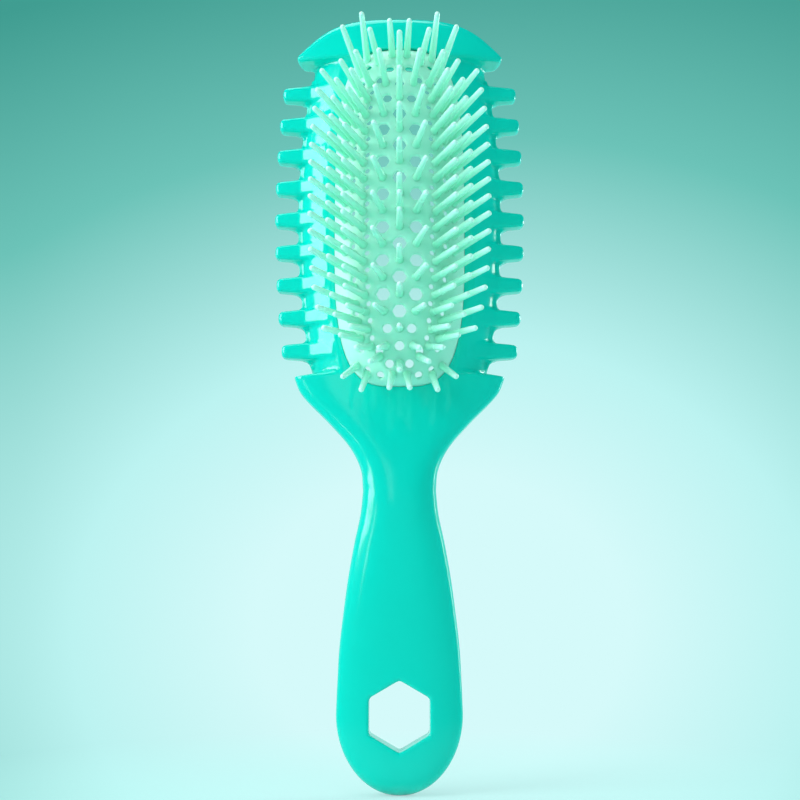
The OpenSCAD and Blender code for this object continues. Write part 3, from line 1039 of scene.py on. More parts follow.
@dataclass
class Comb:
    """The row of side fingers on a rail.

    Attributes:
        set_back: How far in front of the head's flat back the fingers stop.
        reach_in: How far a finger runs into its rail.
        tip_flat: Cut off the round tip, which leaves a small flat.
        front_line: Places past the root, and depths, of a finger's bent front.
    """

    rail: Rail
    count: int = 9
    pitch: float = 10.4
    middle_z: float = 169.5
    width: float = 77.4
    widest_z: float = 174
    bow_r: float = 380
    tip_h: float = 4.0
    root_h: float = 5.3
    set_back: float = 0.7
    reach_in: float = 8
    edge_r: float = 1.0
    tip_corner_r: float = 1.3
    tip_edge_r: float = 1.1
    tip_flat: float = 0.015
    web_depth: float = 3.2
    web_fillet: float = 1.9
    root_steps: int = 2
    front_steps: int = 8
    tip_steps: int = 9
    corner_steps: int = 6
    edge_steps: int = 4
    front_line: tuple[Pair, ...] = ((-8, -0.4), (-6.5, 0.75), (-0.5, 3.4), (7.2, 4.0))

    def heights(self) -> list[float]:
        """Returns the heights of the fingers."""
        return [self.middle_z + (i - (self.count - 1) / 2) * self.pitch for i in range(self.count)]

    def tip_x(self, z: float) -> float:
        """Returns where a finger's tip lies at a height."""
        return self.width / 2 - (z - self.widest_z) ** 2 / (2 * self.bow_r)

    def front_y(self, past_root: float) -> float:
        """Returns the depth of a finger's front, which leaves the arch and then runs nearly flat.

        Args:
            past_root: Place along the finger, from its root.

        Returns:
            The depth.
        """
        for (start, first), (stop, last) in zip(self.front_line, self.front_line[1:]):
            if past_root <= stop:
                break
        return first + (last - first) * (past_root - start) / (stop - start)

    def finger(self, z: float) -> Object:
        """Models one finger at a height.

        Args:
            z: The finger's height.

        Returns:
            The finger: a tapered bar with a bent front and a blunt, rounded tip.
        """
        back = self.rail.handle.head_back - self.set_back
        root, tip = self.rail.outer_x(z), self.tip_x(z)
        kinks = [root + place for place, _ in self.front_line[1:-1]]
        places = [*spread(root - self.reach_in, kinks[0], self.root_steps),
                  *spread(kinks[0], kinks[1], self.front_steps)[1:],
                  *spread(kinks[1], tip - self.tip_corner_r, self.front_steps)[1:]]
        places += [tip - self.tip_corner_r * (1 - math.sin(a))
                   for a in spread(0, math.pi / 2, self.tip_steps)[1:]]
        places[-1] -= self.tip_flat
        rings = []
        for x in places:
            taper = min(max((x - root) / (tip - root), 0), 1)
            height = (self.root_h + (self.tip_h - self.root_h) * taper) / 2
            height -= self.shrink(x - tip, self.tip_corner_r)
            front = self.front_y(x - root)
            depth = (back - front) / 2 - self.shrink(x - tip, self.tip_edge_r)
            rings.append([(x, (front + back) / 2 + y, z + h) for y, h in
                          rounded_box(depth, height, self.edge_r, self.corner_steps)])
        return draw_through("finger", rings)

    @staticmethod
    def shrink(past_tip: float, radius: float) -> float:
        """Returns how far a rounded edge has drawn in at a place near the tip."""
        over = min(max(past_tip + radius, 0), radius)
        return radius - math.sqrt(radius**2 - over**2)

    def web(self, z: float) -> Object:
        """Draws the web behind a finger.

        Args:
            z: The finger's height.

        Returns:
            The web, which follows the rail and rounds off the corners of the gaps.
        """
        back = self.rail.handle.head_back - self.set_back
        root, r, half = self.rail.outer_x(z), self.web_fillet, self.root_h / 2
        high = arc((root + r, z + half + r), r, -90, -90, self.corner_steps)
        low = [(x, 2 * z - h) for x, h in reversed(high)]
        inner = root - self.reach_in
        edge = [z + step for step in spread(half + r, self.pitch / 2, self.edge_steps)]
        below = [(root, 2 * z - h) for h in reversed(edge)]
        above = [(root, h) for h in edge]
        outline = [(inner, below[0][1]), *below, *low[1:], *high[:-1], *above, (inner, edge[-1])]
        bowed = [(x + self.rail.outer_x(h) - root, h) for x, h in outline]
        return draw_through("web", [[(x, y, h) for x, h in bowed] for y in (back - self.web_depth, back)])

    def bodies(self) -> list[Object]:
        """Models all fingers and webs on the right side."""
        return [make(z) for z in self.heights() for make in (self.finger, self.web)]


@dataclass
class Cap:
    """The domed cap that closes the head's top.

    Attributes:
        proud: How far it stands in front of the shoulders' face.
        power: Power of its top edge, where 2 is a parabola.
        drop_share: The top edge falls by this share of the height.
        corner_r: Width over which its lower corners round off.
        low_r: Height over which they do so.
        side_in: Width over which its back corners round off, seen from above.
        side_round: Depth over which they do so.
        radii_high: A section is at least this many radii high, so that its roundings never meet.
        crown_r: Radius of its front, seen from above.
        end_flat: Cut off either end, which leaves a small flat.
    """

    handle: Handle
    top_z: float = 233.6
    height: float = 12.9
    width: float = 64.8
    proud: float = 2.5
    power: float = 3.8
    drop_share: float = 0.9
    corner_r: float = 2.4
    low_r: float = 1.1
    side_in: float = 3.4
    side_round: float = 7.5
    front_r: float = 3
    edge_r: float = 0.8
    radii_high: float = 2.1
    crown_r: float = 112
    end_flat: float = 0.12
    round_steps: int = 8
    across_steps: int = 80

    def section(self, x: float) -> Ring:
        """Draws one section of the cap.

        Args:
            x: Its place across.

        Returns:
            The points round it, with a large rounding at the upper front edge and small ones elsewhere.
        """
        half = self.width / 2
        near_side = min(max(abs(x) - half + self.side_in, 0) / self.side_in, 1)
        back = self.handle.head_back - self.side_round * (1 - math.sqrt(1 - near_side**2))
        top = self.top_z - self.height * self.drop_share * min(abs(x) / half, 1) ** self.power
        over = max(abs(x) - half + self.corner_r, 0) * self.low_r / self.corner_r
        low = self.top_z - self.height + self.low_r - math.sqrt(max(self.low_r**2 - over**2, 0))
        front = self.handle.face_y - self.proud + self.crown_r - math.sqrt(self.crown_r**2 - x * x)
        big, small = (min(r, (top - low) / self.radii_high) for r in (self.front_r, self.edge_r))
        corners = ((front + small, low + small, small, 180), (back - small, low + small, small, 270),
                   (back - small, top - small, small, 0), (front + big, top - big, big, 90))
        return [(x, y, z) for middle_y, middle_z, r, start in corners
                for y, z in arc((middle_y, middle_z), r, start, 90, self.round_steps)]

    def body(self) -> Object:
        """Draws the cap across the head.

        Returns:
            The cap, from corner to corner.
        """
        half = self.width / 2 - self.end_flat
        turns = spread(-math.pi / 2, math.pi / 2, self.across_steps)
        return draw_through("cap", [self.section(half * math.sin(a)) for a in turns])


@dataclass
class FrameMoulding:
    """The teal frame: front shell with shoulders, rails, fingers and cap, and the grip's back cover.

    Attributes:
        slide_gap: Gap between the opening and the pad.
        pocket_grow: How far the pocket behind the lip reaches beyond the pad's outline.
        cut_front: Depth in front of the brush at which the seat's cutter starts.
        cut_over: How far the cutter runs past the head's back.
        grain: Size of the moulded skin's facets.
        smoothing: How often the skin is smoothed.
        seam_gap: Gap between the shell and the cover.
        seat_skin: Thickness that the rough cut leaves, so that the final cut is crisp.
    """

    skin: PadSkin
    finish: bpy.types.Material
    handle: Handle = field(default_factory=Handle)
    slide_gap: float = 0.1
    pocket_grow: float = 2.95
    cut_front: float = -20
    cut_over: float = 3
    grain: float = 0.48
    smoothing: int = 4
    seam_gap: float = 0.16
    seat_skin: float = 0.6

    def seat_cutter(self, left: float) -> Object:
        """Draws the cutter of the pad's opening and of the pocket behind its lip.

        Args:
            left: Thickness of the skin that it leaves all round for a later cut.

        Returns:
            The cutter.
        """
        gap, pocket, lip = self.slide_gap - left, self.pocket_grow - left, self.skin.lip_back + left
        steps = ((self.cut_front, gap), (lip, gap), (lip, pocket),
                 (self.handle.head_back + self.cut_over, pocket))
        return draw_through("seat_cutter", [[(x, y, z) for x, z in self.skin.outline(grow)]
                                            for y, grow in steps])

    def build(self) -> list[Object]:
        """Moulds the frame and splits off the back cover.

        Returns:
            The front shell and the back cover.
        """
        rough, seat, hole = self.seat_cutter(self.seat_skin), self.seat_cutter(0), self.handle.hole_cutter()
        rail = Rail(self.handle)
        grip = self.handle.body()
        carve(grip, hole)
        right_rail = rail.body()
        left_rail = mirrored(right_rail)
        cap = Cap(self.handle).body()
        for part in (grip, right_rail, left_rail, cap):
            carve(part, rough)
        right_comb = Comb(rail).bodies()
        left_comb = [mirrored(part) for part in right_comb]
        shell = joined("frame_shell", [grip, right_rail, left_rail, cap, *right_comb, *left_comb])
        mould(shell, self.grain, self.smoothing)
        carve(shell, seat)
        LOG.info("frame moulded: %d faces", len(shell.data.polygons))
        cover = copy_of(shell, Matrix.Identity(4))
        cover.name = cover.data.name = "grip_cover"
        wide, tight = self.handle.cover_region(0), self.handle.cover_region(self.seam_gap)
        carve(shell, wide)
        carve(cover, tight, Cut.KEEP)
        discard(rough, seat, hole, wide, tight)
        for piece, node in ((shell, "front_shell"), (cover, "back_cover")):
            set_down(piece)
            dress(piece, self.finish)
            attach(piece, "frame")
            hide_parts(node)
        return [shell, cover]


@dataclass
class RetainingRing:
    """The ring that clamps the pad's flange from behind, with its snap lugs.

    Attributes:
        front_y: Depth of its front, on which the flange lies.
        reach_out: How far it reaches beyond the pad's outline.
        reach_in: How far it reaches inside the outline.
        crease: Edges sharper than this many degrees stay crisp.
        lug_shares: Heights of the lugs from the pad's middle, as shares of the pad's length.
    """

    skin: PadSkin
    finish: bpy.types.Material
    front_y: float = 3.4
    depth: float = 2.4
    reach_out: float = 2.8
    reach_in: float = 3.4
    edge_r: float = 0.5
    edge_steps: int = 4
    crease: float = 35
    lug_shares: tuple[float, ...] = (-0.3, 0, 0.3)
    lug_size: Point = (1.8, 1.2, 7)
    lug_edge: float = 0.25
    lug_edge_steps: int = 3

    def build(self) -> list[Object]:
        """Draws the ring round the pad's outline and sets its lugs in.

        Returns:
            The ring.
        """
        half_reach, half_depth = (self.reach_out + self.reach_in) / 2, self.depth / 2
        profile = [(self.reach_out - half_reach + grow, self.front_y + half_depth + y) for grow, y in
                   rounded_box(half_reach, half_depth, self.edge_r, self.edge_steps)]
        rings = [[(x, y, z) for x, z in self.skin.outline(grow)] for grow, y in profile]
        ring = draw_through("retaining_ring", rings, looped=True)
        lugs = [self.lug(side, share) for side in Side for share in self.lug_shares]
        ring = joined("retaining_ring", [ring, *lugs])
        set_down(ring, self.crease)
        dress(ring, self.finish)
        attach(ring, "frame")
        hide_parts("pad_retainer")
        return [ring]

    def lug(self, side: Side, share: float) -> Object:
        """Models one snap lug with broken edges.

        Args:
            side: The side of the ring that it is on.
            share: Its height from the pad's middle, as a share of the pad's length.

        Returns:
            The lug.
        """
        height = share * self.skin.length
        x = self.skin.bow(height, self.skin.power) + self.reach_out
        place = (side.value * x, self.front_y + self.depth / 2, self.skin.middle_z + height)
        clear_selection()
        bpy.ops.mesh.primitive_cube_add(size=1, location=place, scale=self.lug_size)
        lug = bpy.context.object
        bpy.ops.object.transform_apply(location=True, rotation=True, scale=True)
        bpy.ops.object.mode_set(mode="EDIT")
        bpy.ops.mesh.select_all(action="SELECT")
        bpy.ops.mesh.bevel(offset=self.lug_edge, segments=self.lug_edge_steps)
        bpy.ops.object.mode_set(mode="OBJECT")
        return lug


# The pad and its pins


@dataclass(frozen=True)
class Vent:
    """One vent: its place across, its row, its kind, and its width beside that of its kind."""

    x: float
    row: float
    kind: VentKind
    size: float = 1


@dataclass(frozen=True)
class VentColumn:
    """One column of vents on each side of the pad.

    Attributes:
        share: Its place across, as a share of the pad's bowed half width.
        last_row: Its highest row; the lowest is as far below row 0.
        steps: Number of steps from the lowest row to the highest.
        kind: Kind of its vents.
    """

    share: float
    last_row: float
    steps: int
    kind: VentKind


@dataclass
class PadMembrane:
    """The perforated soft dome with its thin skirt and the flange that is clamped.

    Attributes:
        rim_t: How far behind the pad's edge the dome ends.
        rim_depth: How far the rim then runs straight into the opening.
        rim_taper: Depth over which the rim draws in to the skirt.
        skirt_in: How far inside the pad's outline the skirt lies.
        inner_rise: How far behind the dome's end the inside of the skirt stops.
        pole_share: Size of the first ring, at the top of the dome, beside the outline.
        grain: Size of the moulded skin's facets.
        smoothing: How often the skin is smoothed.
        crease: Edges sharper than this many degrees stay crisp.
        cut_reach: Length of a vent's cutter, in thicknesses of the dome.
        end_vents: The vents beyond the columns in one quarter of the pad.
    """

    skin: PadSkin
    finish: bpy.types.Material
    thickness: float = 1.6
    rim_t: float = 0.1
    rim_depth: float = 1.1
    rim_taper: float = 0.6
    flange_t: float = 1.4
    flange_out: float = 2.8
    skirt_in: float = 0.5
    skirt_t: float = 1.0
    inner_rise: float = 0.2
    pole_share: float = 0.004
    crown_steps: int = 30
    grain: float = 0.4
    smoothing: int = 2
    crease: float = 60
    cut_reach: float = 3
    columns: tuple[VentColumn, ...] = (
        VentColumn(0.264, 2.5, 5, VentKind.WIDE), VentColumn(0.215, 3.5, 1, VentKind.END),
        VentColumn(0.505, 3.75, 15, VentKind.SMALL), VentColumn(0.716, 3, 6, VentKind.SMALL))
    middle_vents: tuple[Vent, ...] = (
        Vent(0, 1, VentKind.WIDE), Vent(0, 2, VentKind.WIDE), Vent(0, 3, VentKind.WIDE),
        Vent(0, 4, VentKind.END))
    end_vents: tuple[Vent, ...] = (
        Vent(6.0479, 4.13, VentKind.SMALL, 1.4), Vent(2.9944, 4.5, VentKind.SMALL, 1.5),
        Vent(11.426, 4.05, VentKind.SMALL, 1.1), Vent(5.713, 4.8, VentKind.SMALL, 1.3),
        Vent(9.5545, 4.62, VentKind.SMALL, 1.1))

    def dome_ring(self, share: float, drop: float, shrink: float, sides: int = 144) -> Ring:
        """Returns one ring of the dome.

        Args:
            share: Size of the ring beside the pad's outline.
            drop: How much lower the crown is.
            shrink: How far the outline is drawn in.
            sides: Number of points.

        Returns:
            The ring's points.
        """
        skin = self.skin
        a, b = skin.width / 2, skin.length / 2
        ring = []
        for i in range(sides):
            t = FULL_TURN * i / sides
            x = share * a * signed_power(math.cos(t), 2 / skin.power)
            h = share * b * signed_power(math.sin(t), 2 / skin.power)
            rise = skin.rise(x, h) * (skin.crown_h - drop) / skin.crown_h
            ring.append((x * (a - shrink) / a, skin.edge_y - rise, skin.middle_z + h * (b - shrink) / b))
        return ring

    def level_ring(self, grow: float, y: float, sides: int = 144) -> Ring:
        """Returns the pad's outline, grown and at a depth."""
        return [(x, y, z) for x, z in self.skin.outline(grow, sides)]

    def shell(self) -> Object:
        """Draws the pad's skin in one closed shell.

        Returns:
            The dome's outside, the skirt, the flange and the inside, without vents.
        """
        shares = [self.pole_share, *(math.sin(a) for a in spread(0, math.pi / 2, self.crown_steps)[1:])]
        base, lip = self.skin.edge_y + self.rim_t, self.skin.lip_back
        rim, back = base + self.rim_depth, lip + self.flange_t
        skirt, inner = -self.skirt_in, -self.skirt_in - self.skirt_t
        levels = ((0, base), (0, rim), (skirt, rim + self.rim_taper), (skirt, lip), (self.flange_out, lip),
                  (self.flange_out, back), (inner, back), (inner, base + self.inner_rise))
        rings = [self.dome_ring(share, 0, 0) for share in shares]
        rings += [self.level_ring(grow, y) for grow, y in levels]
        rings += [self.dome_ring(share, self.thickness, self.thickness) for share in reversed(shares)]
        return draw_through("pad_membrane", rings)

    def vent_cutter(self, vent: Vent) -> Object:
        """Models one vent's cutter.

        Args:
            vent: The vent.

        Returns:
            A bar that stands square on the skin; a six-sided one has a corner up.
        """
        width, sides, turn = vent.kind.value
        clear_selection()
        bpy.ops.mesh.primitive_cylinder_add(vertices=sides, radius=width * vent.size / 2,
                                            depth=self.cut_reach * self.thickness)
        cutter = bpy.context.object
        bpy.ops.object.mode_set(mode="EDIT")
        bpy.ops.mesh.select_all(action="SELECT")
        bpy.ops.transform.rotate(value=math.radians(turn), orient_axis="Z", center_override=(0, 0, 0))
        bpy.ops.transform.translate(value=(0, 0, -self.thickness / 2))
        bpy.ops.object.mode_set(mode="OBJECT")
        cutter.data.transform(self.skin.upright(vent.x, vent.row))
        return cutter

    def vents(self) -> list[Vent]:
        """Sets out the vents.

        Returns:
            The columns on both sides, the middle column, and the groups at the pad's ends.
        """
        found = [Vent(self.skin.column_x(side.value * column.share, row), row, column.kind)
                 for column in self.columns for row in spread(-column.last_row, column.last_row, column.steps)
                 for side in Side]
        found += [replace(vent, row=end.value * vent.row) for vent in self.middle_vents for end in End]
        found += [replace(vent, x=side.value * vent.x, row=end.value * vent.row)
                  for vent in self.end_vents for side in Side for end in End]
        return found

    def build(self) -> list[Object]:
        """Moulds the pad and cuts its vents.

        Returns:
            The pad.
        """
        pad = self.shell()
        cutters = [self.vent_cutter(vent) for vent in self.vents()]
        bars = joined("vent_cutters", cutters)
        carve(pad, bars)
        discard(bars)
        mould(pad, self.grain, self.smoothing)
        LOG.info("pad moulded: %d faces, %d vents", len(pad.data.polygons), len(cutters))
        set_down(pad, self.crease)
        dress(pad, self.finish)
        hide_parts("pad_dome", "pad_skirt")
        z = self.skin.middle_z * MM
        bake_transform(pad)
        return [pad]


@dataclass(frozen=True)
class EndPin:
    """One pin of an end group.

    Attributes:
        share: Its place across, as a share of the pad's half width.
        row: Its row.
        lean: Its lean towards the pad's end, in degrees.
        side: Its lean to the side, in degrees.
        long: Whether it is as long as the outer pins.
    """

    share: float
    row: float
    lean: float
    side: float
    long: bool = False


@dataclass(frozen=True)
class PinPlace:
    """Where one pin stands, how it leans, in degrees, and how long it is."""

    x: float
    row: float
    lean: float
    side: float
    length: float


@dataclass
class PinField:
    """All pins: a middle column, four more on each side, and a group at each end of the pad.

    Attributes:
        outer_more: How much longer the outermost pins are.
        end_lean: Lean of the pins at the pad's very ends, in degrees.
        lean_power: How late that lean sets in.
        end_straight: Share of their sideways lean that the pins at the ends lose.
        straight_power: How late they lose it.
        crease: Edges sharper than this many degrees stay crisp.
        flare: Radii beyond the root's and heights of the flared root, from its sunk end.
        flare_h: Height at which the tapered shank starts.
        shank_shares: Where the shank has its points, from its start to the tip.
        column_shares: Places of the side columns, as shares of the pad's bowed half width.
        column_rows: Each side column's last row and the rows from pin to pin.
        column_up_leans: How far each side column leans up towards the cap, in degrees.
        column_drops: How many rows lower than the others each side column stands.
    """

    skin: PadSkin
    finish: bpy.types.Material
    length: float = 15.5
    root_d: float = 2.2
    tip_d: float = 1.6
    outer_more: float = 2.5
    end_lean: float = 24
    lean_power: float = 2.2
    end_straight: float = 0.45
    straight_power: float = 6
    facets: int = 14
    crease: float = 50
    flare: tuple[Pair, ...] = ((0.35, -0.9), (0.32, -0.1), (0.12, 0.25), (0.02, 0.7))
    flare_h: float = 0.8
    shank_shares: Pair = (0.33, 0.66)
    tip_turn: float = 72
    tip_steps: int = 4
    middle_last_row: float = 4.5
    column_shares: tuple[float, ...] = (0.259, 0.553, 0.706, 0.835)
    column_rows: tuple[tuple[float, float], ...] = ((4, 1), (4, 0.5), (3.75, 0.5), (3.5, 0.5))
    column_up_leans: tuple[float, ...] = (0, 1.5, 4.5, 6.7)
    column_drops: tuple[float, ...] = (0, 0, 0, 0.13)
    top_pins: tuple[EndPin, ...] = (
        EndPin(0.112, 4.98, 15, 2.9), EndPin(0.325, 4.72, 14, 9.6), EndPin(0.508, 4.9, 23, 4.5, True),
        EndPin(0.61, 4.4, 28, 18.9, True))
    bottom_pins: tuple[EndPin, ...] = (
        EndPin(0.112, 4.8, 25, 2.9), EndPin(0.492, 4.78, 26.8, 4.8), EndPin(0.64, 4.5, 22.9, 14.6),
        EndPin(0.3, 4.3, 16.9, 9.4))

    def profile(self, length: float) -> list[Pair]:
        """Draws a pin's profile.

        Args:
            length: The pin's length above the skin.

        Returns:
            Its sunk, flared root, tapered shank and round tip.
        """
        root, tip = self.root_d / 2, self.tip_d / 2
        flare = [(root + more, z) for more, z in self.flare]
        shank = [(root + (tip - root) * s, self.flare_h + (length - tip - self.flare_h) * s)
                 for s in self.shank_shares]
        crown = arc((0, length - tip), tip, 0, self.tip_turn, self.tip_steps)
        return [(0, self.flare[0][1]), *flare, *shank, *crown, (0, length)]

    def pin(self, length: float) -> Object:
        """Turns one pin, and marks how high each of its points is.

        Args:
            length: The pin's length above the skin.

        Returns:
            The pin, upright at the origin.
        """
        made = turn_profile("pin", self.profile(length), self.facets)
        mark = made.data.attributes.new(PIN_HEIGHT, "FLOAT", "POINT")
        for vertex, value in zip(made.data.vertices, mark.data):
            value.value = min(max(vertex.co.z / length, 0), 1)
        return made

    def end_way(self, row: float, power: float) -> float:
        """Returns how near a row is to the pad's end, from 0 to 1."""
        return min(abs(self.skin.row_height(row)) / (self.skin.length / 2), 1) ** power

    def column_pin(self, x: float, row: float, length: float, up_lean: float = 0) -> PinPlace:
        """Returns a pin of a column.

        Args:
            x: Its place across.
            row: Its row.
            length: Its length.
            up_lean: How far the whole column leans up towards the cap, in degrees.

        Returns:
            The pin, which leans sideways as the crown's radius does, and towards the nearer end.
        """
        side = math.degrees(math.asin(x / self.skin.crown_r))
        side *= 1 - self.end_straight * self.end_way(row, self.straight_power)
        lean = self.end_lean * math.copysign(self.end_way(row, self.lean_power), row)
        return PinPlace(x, row, lean + up_lean, side, length)

    def stand(self, pin: PinPlace) -> Matrix:
        """Works out how a pin stands.

        Args:
            pin: Its place and lean.

        Returns:
            A matrix whose Z axis is the pin's axis, and whose origin lies on the skin.
        """
        place = Matrix.Translation(self.skin.point(pin.x, self.skin.row_height(pin.row)))
        turn = Matrix.Rotation(math.radians(pin.side), 4, "Z")
        return place @ turn @ Matrix.Rotation(math.radians(90 - pin.lean), 4, "X")

    def groups(self) -> dict[str, list[PinPlace]]:
        """Sets out the pins.

        Returns:
            The pins of each group, by the name of the group's node.
        """
        last = self.middle_last_row
        rows = sorted([0.0, *spread(-last, last, round(2 * last))])
        found = {"pins_centre": [self.column_pin(0.0, row, self.length) for row in rows]}
        columns = zip(self.column_shares, self.column_rows, self.column_drops, self.column_up_leans)
        for number, (share, (last, step), drop, up_lean) in enumerate(columns, 1):
            rows = [row - drop for row in spread(-last, last, round(2 * last / step))]
            length = self.length + (self.outer_more if number == len(self.column_shares) else 0)
            for side in Side:
                found[f"pins_{side.name.lower()}_{number}"] = [
                    self.column_pin(self.skin.column_x(side.value * share, row), row, length, up_lean)
                    for row in rows]
        for end, pins in ((End.TOP, self.top_pins), (End.BOTTOM, self.bottom_pins)):
            found[f"pins_{end.name.lower()}"] = [
                PinPlace(side.value * pin.share * self.skin.width / 2, end.value * pin.row,
                         end.value * pin.lean, side.value * pin.side,
                         self.length + (self.outer_more if pin.long else 0))
                for pin in pins for side in Side]
        return found

    def build(self) -> list[Object]:
        """Sets all pins on the skin, one piece for each group.

        Returns:
            The groups of pins.
        """
        pattern = {length: self.pin(length) for length in (self.length, self.length + self.outer_more)}
        pieces = []
        for node, places in self.groups().items():
            copies = [copy_of(pattern[pin.length], self.stand(pin)) for pin in places]
            piece = joined(f"{node}_rubber", copies)
            set_down(piece, self.crease)
            dress(piece, self.finish)
            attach(piece, "pad")
            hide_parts(node)
            LOG.info("%s: %d pins", piece.name, len(places))
            pieces.append(piece)
        discard(*pattern.values())
        return pieces


# The studio


@dataclass
class Lamp:
    """One softbox.

    Attributes:
        name: Its name.
        place: Place of its middle, in metres.
        target: Place that it points at.
        size: Its width and its height.
        power: Its power, in watts.
    """

    name: str
    place: Point
    target: Point
    size: Pair
    power: float

    def hang(self) -> None:
        """Hangs the softbox and points it at its target."""
        clear_selection()
        bpy.ops.object.light_add(type="AREA", location=self.place)
        lamp = bpy.context.object
        lamp.name = self.name
        lamp.data.shape = "RECTANGLE"
        lamp.data.size, lamp.data.size_y = self.size
        lamp.data.energy = self.power
        aim = Vector(self.target) - Vector(self.place)
        lamp.rotation_euler = aim.to_track_quat("-Z", "Y").to_euler()


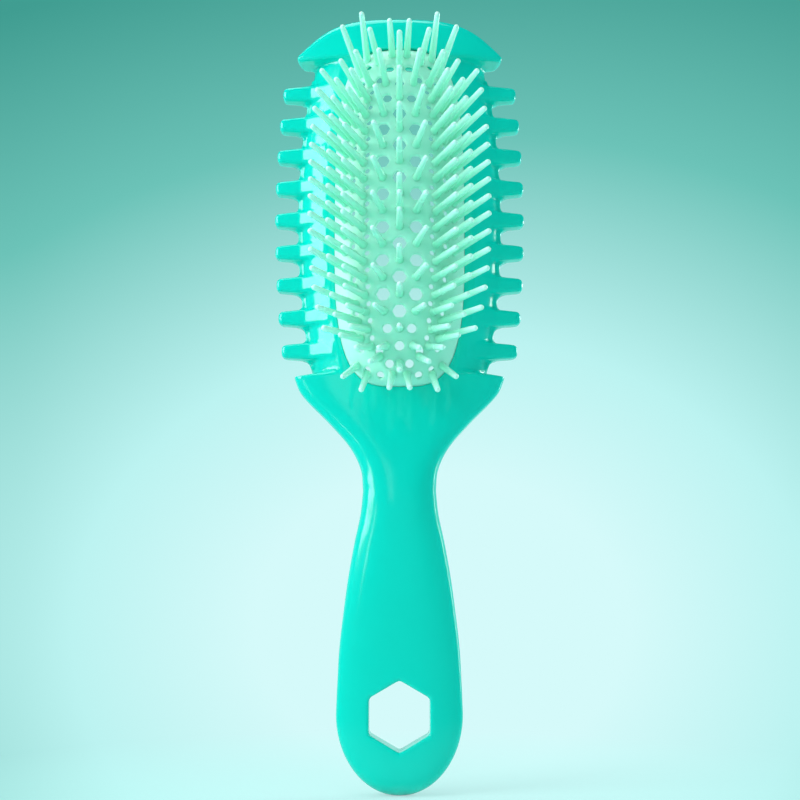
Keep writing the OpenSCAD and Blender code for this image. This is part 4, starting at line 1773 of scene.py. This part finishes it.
@dataclass
class Studio:
    """Pale floor, mint backdrop, soft light and the camera, with its places in metres.

    Attributes:
        shadow_r: How far from the brush the floor keeps a shadow.
        shadow_core: Share of that distance over which it keeps all of it.
        shadow_keep: How strong the shadow is.
        world_light: Brightness of the room as the brush is lit by it.
        mirrored_light: Brightness of the room before the brush, in mirrors.
        pale: Colour of the light that falls on the brush.
        glow_middle: Middle of the glow, across and up.
        glow_stretch: How fast the glow fades to the sides, where 1 is as fast as upwards.
        glow_fold: How far to the side it turns back, so that other views see a glow too.
        fold_soft: Softness of that turn.
        glow_low: Below this height the glow changes no more.
        floor_front: How far before the brush the glow on the floor stops fading to the sides.
        glow_stops: Colours of the glow by the distance from its middle.
    """

    camera_place: Point = (0.00015, -0.31745, 0.0548)
    camera_tilt: float = 100
    lens: float = 50
    sensor: float = 36
    floor_r: float = 1.6
    floor_sides: int = 96
    shadow_r: float = 0.16
    shadow_core: float = 0.3
    world_light: float = 0.59
    mirrored_light: float = 0.12
    pale: tuple = linear(222, 247, 243)
    glow_middle: Pair = (0.035, -0.021)
    glow_stretch: float = 0.8
    glow_fold: float = 0.38
    fold_soft: float = 0.08
    glow_low: float = -0.2
    floor_front: float = 0.3
    glow_stops: tuple = ((0.13, linear(213, 250, 250)), (0.25, linear(188, 243, 241)),
                         (0.42, linear(108, 195, 184)), (0.56, linear(64, 157, 145)))
    floor_colour: tuple = linear(190, 238, 236)
    shadow_keep: float = 0.4
    lamps: tuple[Lamp, ...] = (
        Lamp("left_softbox", (-0.54, -0.25, 0.36), (0, 0, 0.16), (0.36, 0.38), 2.95),
        Lamp("left_strip", (-0.5, -0.62, 0.13), (0, 0, 0.08), (0.045, 0.1), 0.06),
        Lamp("left_card", (-0.115, -0.85, 0.38), (0, 0, 0.11), (0.11, 0.28), 0.07),
        Lamp("top_softbox", (-0.1, -0.05, 0.8), (0, 0, 0.15), (0.6, 0.4), 1.9),
        Lamp("right_rim", (0.46, 0.2, 0.16), (0, 0, 0.12), (0.05, 0.4), 0.5),
        Lamp("right_glow", (0.4, 0.24, 0.25), (0, 0, 0.12), (0.36, 0.09), 0.7),
    )

    def pale_floor(self) -> bpy.types.Material:
        """Lays out the floor's material.

        Returns:
            A floor that keeps the shadow near the brush, and looks like the backdrop elsewhere.
        """
        made = bpy.data.materials.new("pale_floor")
        desk = Desk(made)
        place = desk.place()
        from_brush = desk.vector("NORMALIZE", place)
        from_photo = desk.vector("NORMALIZE", desk.vector("SUBTRACT", place, self.camera_place))
        far = desk.vector("LENGTH", place, output="Value")
        fade = desk.add("ShaderNodeMapRange", {}, {
            "Value": far, "From Min": self.shadow_r * self.shadow_core, "From Max": self.shadow_r})
        wide = desk.add("ShaderNodeMapRange", {}, {
            "Value": desk.along(place, "Y"), "From Min": -self.floor_front, "From Max": 0.0})
        matt = desk.add("ShaderNodeBsdfDiffuse", {}, {"Color": self.floor_colour})
        glow = desk.add("ShaderNodeEmission", {}, {
            "Color": self.backdrop(desk, from_photo, wide), "Strength": self.seen(desk, from_brush)})
        show = (1 - desk.is_ray(Ray.DIFFUSE)) * (1 - self.shadow_keep + fade * self.shadow_keep)
        mixed = desk.add("ShaderNodeMixShader", {}, {0: show, 1: matt, 2: glow})
        desk.add("ShaderNodeOutputMaterial", {}, {"Surface": mixed})
        return made

    def seen(self, desk: Desk, way: Value) -> Value:
        """Works out how brightly a ray shows the backdrop, straight, through glass, or mirrored.

        Args:
            desk: The nodes that need the brightness.
            way: Direction from the brush to the place that the ray meets.

        Returns:
            The brightness; mirrors show the backdrop behind the brush in full and the room before it dimly.
        """
        behind = desk.along(way, "Y").or_(0)
        mirrored = desk.is_ray(Ray.MIRRORED) * (self.mirrored_light + behind * (1 - self.mirrored_light))
        return desk.is_ray(Ray.CAMERA).or_(mirrored).or_(desk.is_ray(Ray.THROUGH))

    def backdrop(self, desk: Desk, way: Value, wide: Value | float = 1) -> Value:
        """Works out the colour of the light that a ray meets.

        Args:
            desk: The nodes that need the colour.
            way: Direction of the place that the ray meets, from where the photograph was taken.
            wide: How strongly the glow fades to the sides, from 0 to 1.

        Returns:
            For the camera and in mirrors, a pale glow low behind the brush that deepens to mint; pale light
            for the rest.
        """
        across = desk.along(way, "X") - self.glow_middle[0]
        aside = desk.add("ShaderNodeMath", {"operation": "ABSOLUTE"}, {0: across})
        back = (1 - aside) * (self.glow_fold / (1 - self.glow_fold))
        fold = desk.add("ShaderNodeMath", {"operation": "SMOOTH_MIN"}, {0: aside, 1: back, 2: self.fold_soft})
        side = fold * wide * self.glow_stretch
        high = desk.along(way, "Z").or_(self.glow_low) - self.glow_middle[1]
        far = (side * side + high * high) ** 0.5
        glow = desk.add("ShaderNodeValToRGB", {"stops": self.glow_stops}, {0: far})
        return desk.blend(desk.is_ray(Ray.CAMERA).or_(desk.is_ray(Ray.MIRRORED)), self.pale, glow)

    def build(self) -> None:
        """Lays the floor, lights the room and sets the camera."""
        clear_selection()
        bpy.ops.mesh.primitive_circle_add(vertices=self.floor_sides, radius=self.floor_r, fill_type="TRIFAN")
        floor = bpy.context.object
        floor.name = "studio_floor"
        floor.data.materials.append(self.pale_floor())
        scene = bpy.context.scene
        scene.world = scene.world or bpy.data.worlds.new("studio")
        desk = Desk(scene.world)
        way = desk.add("ShaderNodeTexCoord", output="Generated")
        strength = self.seen(desk, way).or_(desk.is_ray(Ray.DIFFUSE) * self.world_light)
        light = desk.add("ShaderNodeBackground", {}, {
            "Color": self.backdrop(desk, way), "Strength": strength})
        desk.add("ShaderNodeOutputWorld", {}, {"Surface": light})
        for lamp in self.lamps:
            lamp.hang()
        clear_selection()
        bpy.ops.object.camera_add(location=self.camera_place, rotation=(math.radians(self.camera_tilt), 0, 0))
        camera = bpy.context.object
        camera.name = "photo_camera"
        camera.data.lens = self.lens
        camera.data.sensor_width = self.sensor
        scene.camera = camera
        scene.view_settings.view_transform = "Standard"


def main() -> None:
    """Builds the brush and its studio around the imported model."""
    logging.basicConfig(level=logging.INFO, format="%(name)s: %(message)s")
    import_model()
    skin = PadSkin()
    teal = GlossyTealPlastic().material()
    assemblies: list[Callable[[], list[Object]]] = [
        FrameMoulding(skin, teal).build,
        RetainingRing(skin, teal).build,
        PadMembrane(skin, SoftMintRubber().material()).build,
        PinField(skin, PinRubber().material()).build,
    ]
    for build in assemblies:
        for piece in build():
            LOG.info("%s is ready: %d faces", piece.name, len(piece.data.polygons))
    Studio().build()
    clear_selection()


if __name__ == "__main__":
    main()
